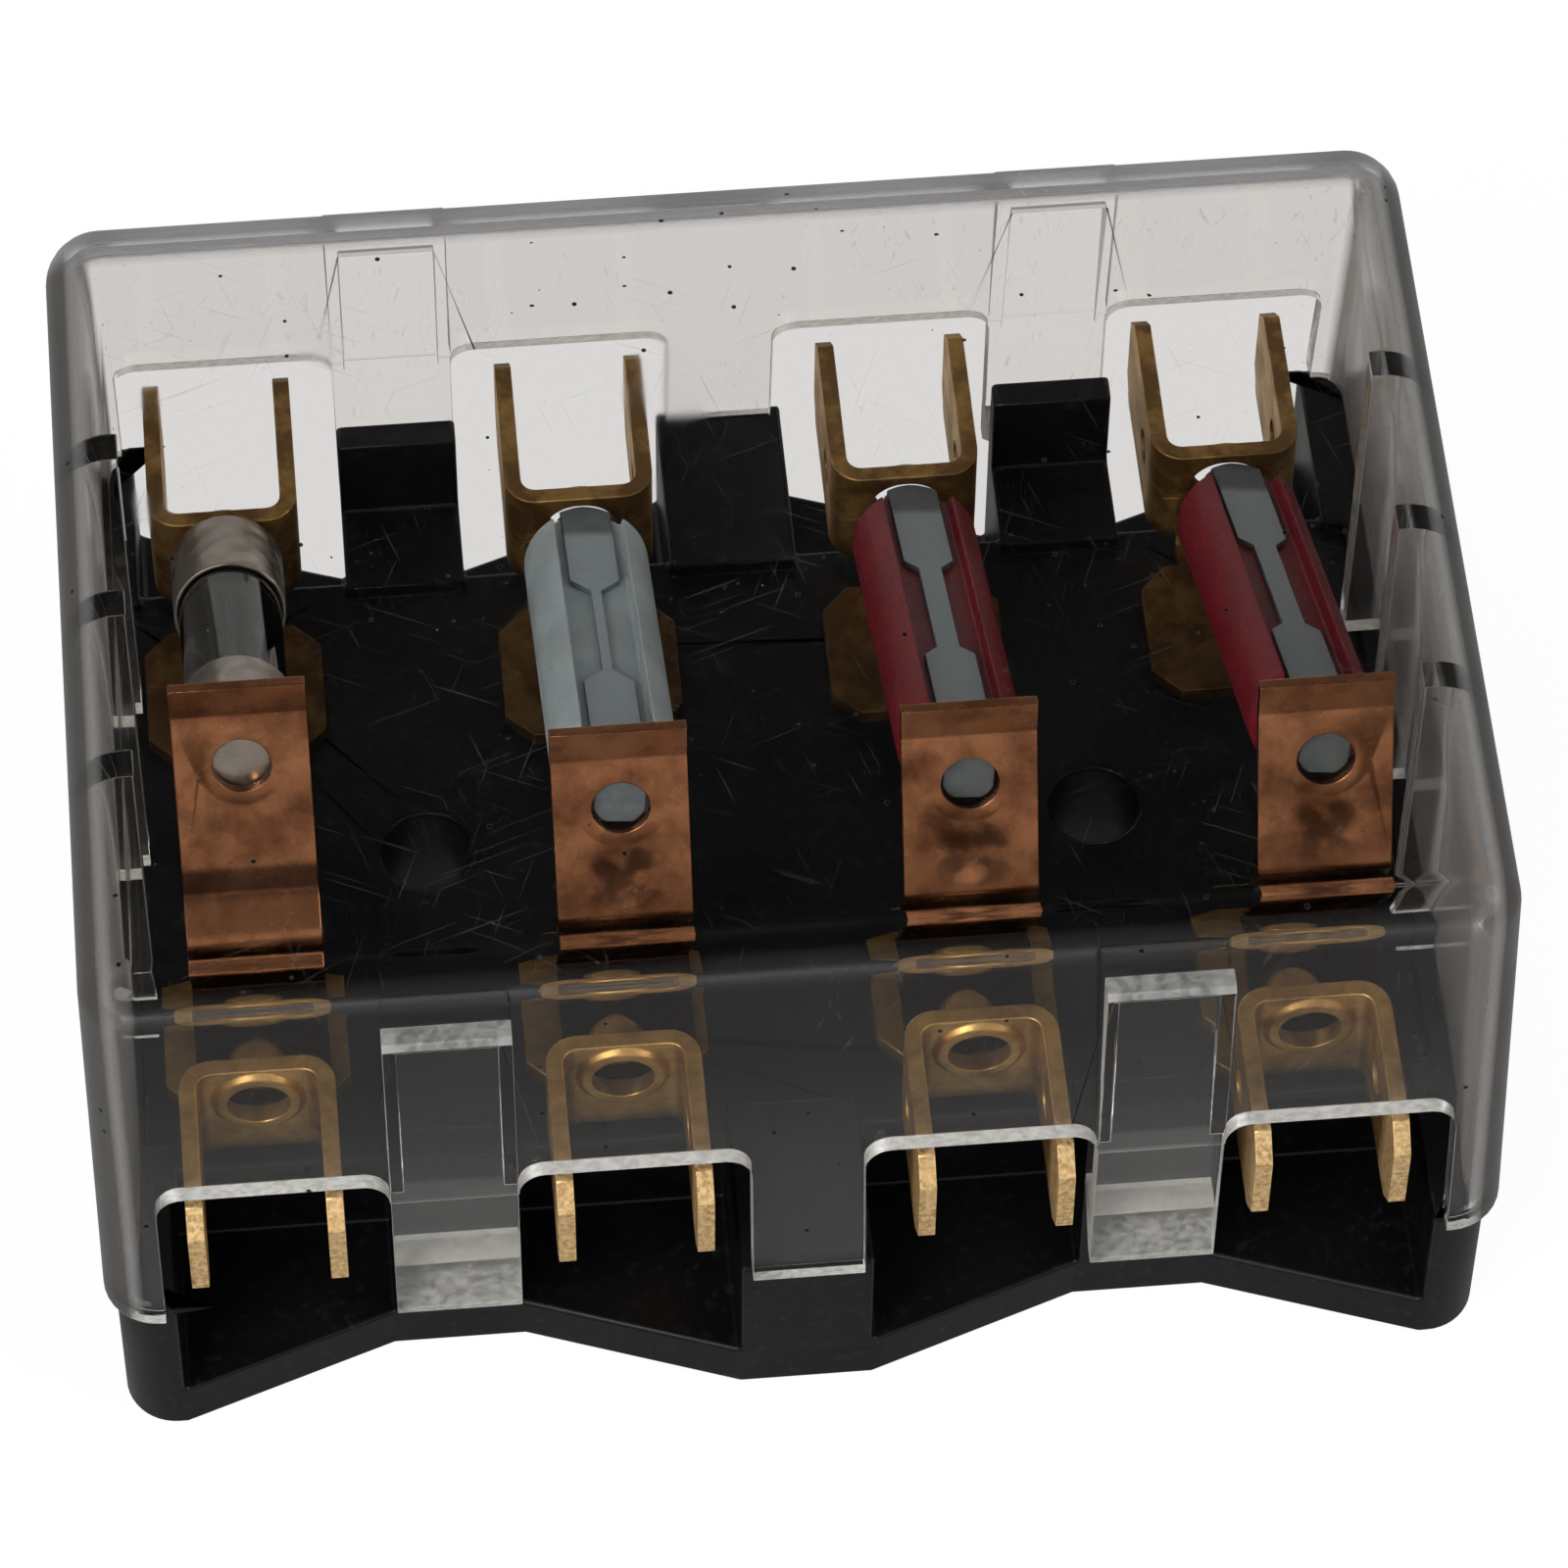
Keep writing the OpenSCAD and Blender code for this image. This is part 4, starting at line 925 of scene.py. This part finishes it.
class FUSEBOX_OT_stage(bpy.types.Operator):
    """Adds the floor, the room light, the lamps and the camera"""

    bl_idname = "fusebox.stage"
    bl_label = "Stage"

    def execute(self, context):
        scene = context.scene
        stage = scene.fusebox_stage
        bpy.ops.object.select_all(action="DESELECT")
        bpy.ops.mesh.primitive_plane_add(size=stage.floor_size, location=(0, 0, -FLOOR_DROP))
        floor = context.active_object
        floor.name = "studio_floor"
        bpy.ops.object.transform_apply(location=True)
        floor.data.materials.append(studio_floor(scene.fusebox_colours))
        scene.world = studio_world()
        add_lamp("key_lamp", stage.key_power, stage.key_size, stage.key_place)
        add_lamp("fill_lamp", stage.fill_power, stage.fill_size, stage.fill_place)
        bpy.ops.object.camera_add()
        camera = context.active_object
        camera.data.lens = stage.lens
        camera.data.sensor_width = stage.sensor
        aim = Matrix.Rotation(-stage.turn, 4, "Z")
        aim = aim @ Matrix.Rotation(math.pi / 2 - stage.elevation, 4, "X")
        aim = aim @ Matrix.Rotation(stage.roll, 4, "Z")
        camera.matrix_world = Matrix.Translation(stage.eye) @ aim
        scene.camera = camera
        scene.view_settings.view_transform = "Standard"
        return {"FINISHED"}


class FUSEBOX_PT_panel(bpy.types.Panel):
    """Lists the pieces, their sizes and colours"""

    bl_idname = "FUSEBOX_PT_panel"
    bl_label = "Fuse box"
    bl_space_type = "VIEW_3D"
    bl_region_type = "UI"
    bl_category = "Fuse box"

    def draw(self, context):
        for operator in OPERATORS:
            self.layout.operator(operator.bl_idname)
        for group in GROUPS:
            settings = getattr(context.scene, GROUPS[group])
            box = self.layout.box()
            for name in group.__annotations__:
                box.prop(settings, name)


GROUPS = {
    FuseBoxColours: "fusebox_colours",
    FuseBoxSizes: "fusebox_sizes",
    FuseBoxStage: "fusebox_stage",
}
OPERATORS = (
    FUSEBOX_OT_base,
    FUSEBOX_OT_terminals,
    FUSEBOX_OT_springs,
    FUSEBOX_OT_glass_fuse,
    FUSEBOX_OT_torpedo_fuses,
    FUSEBOX_OT_cover,
    FUSEBOX_OT_stage,
)


def register():
    """Registers the classes and hangs the settings on the scene."""
    for group, name in GROUPS.items():
        bpy.utils.register_class(group)
        setattr(bpy.types.Scene, name, bpy.props.PointerProperty(type=group))
    for operator in OPERATORS:
        bpy.utils.register_class(operator)
    bpy.utils.register_class(FUSEBOX_PT_panel)


def unregister():
    """Takes the settings and classes away again."""
    bpy.utils.unregister_class(FUSEBOX_PT_panel)
    for operator in OPERATORS:
        bpy.utils.unregister_class(operator)
    for group, name in GROUPS.items():
        delattr(bpy.types.Scene, name)
        bpy.utils.unregister_class(group)


def main():
    """Builds the looks and the stage."""
    register()
    bpy.ops.fusebox.base()
    bpy.ops.fusebox.terminals()
    bpy.ops.fusebox.springs()
    bpy.ops.fusebox.glass_fuse()
    bpy.ops.fusebox.torpedo_fuses()
    bpy.ops.fusebox.cover()
    bpy.ops.fusebox.stage()


if __name__ == "__main__":
    main()
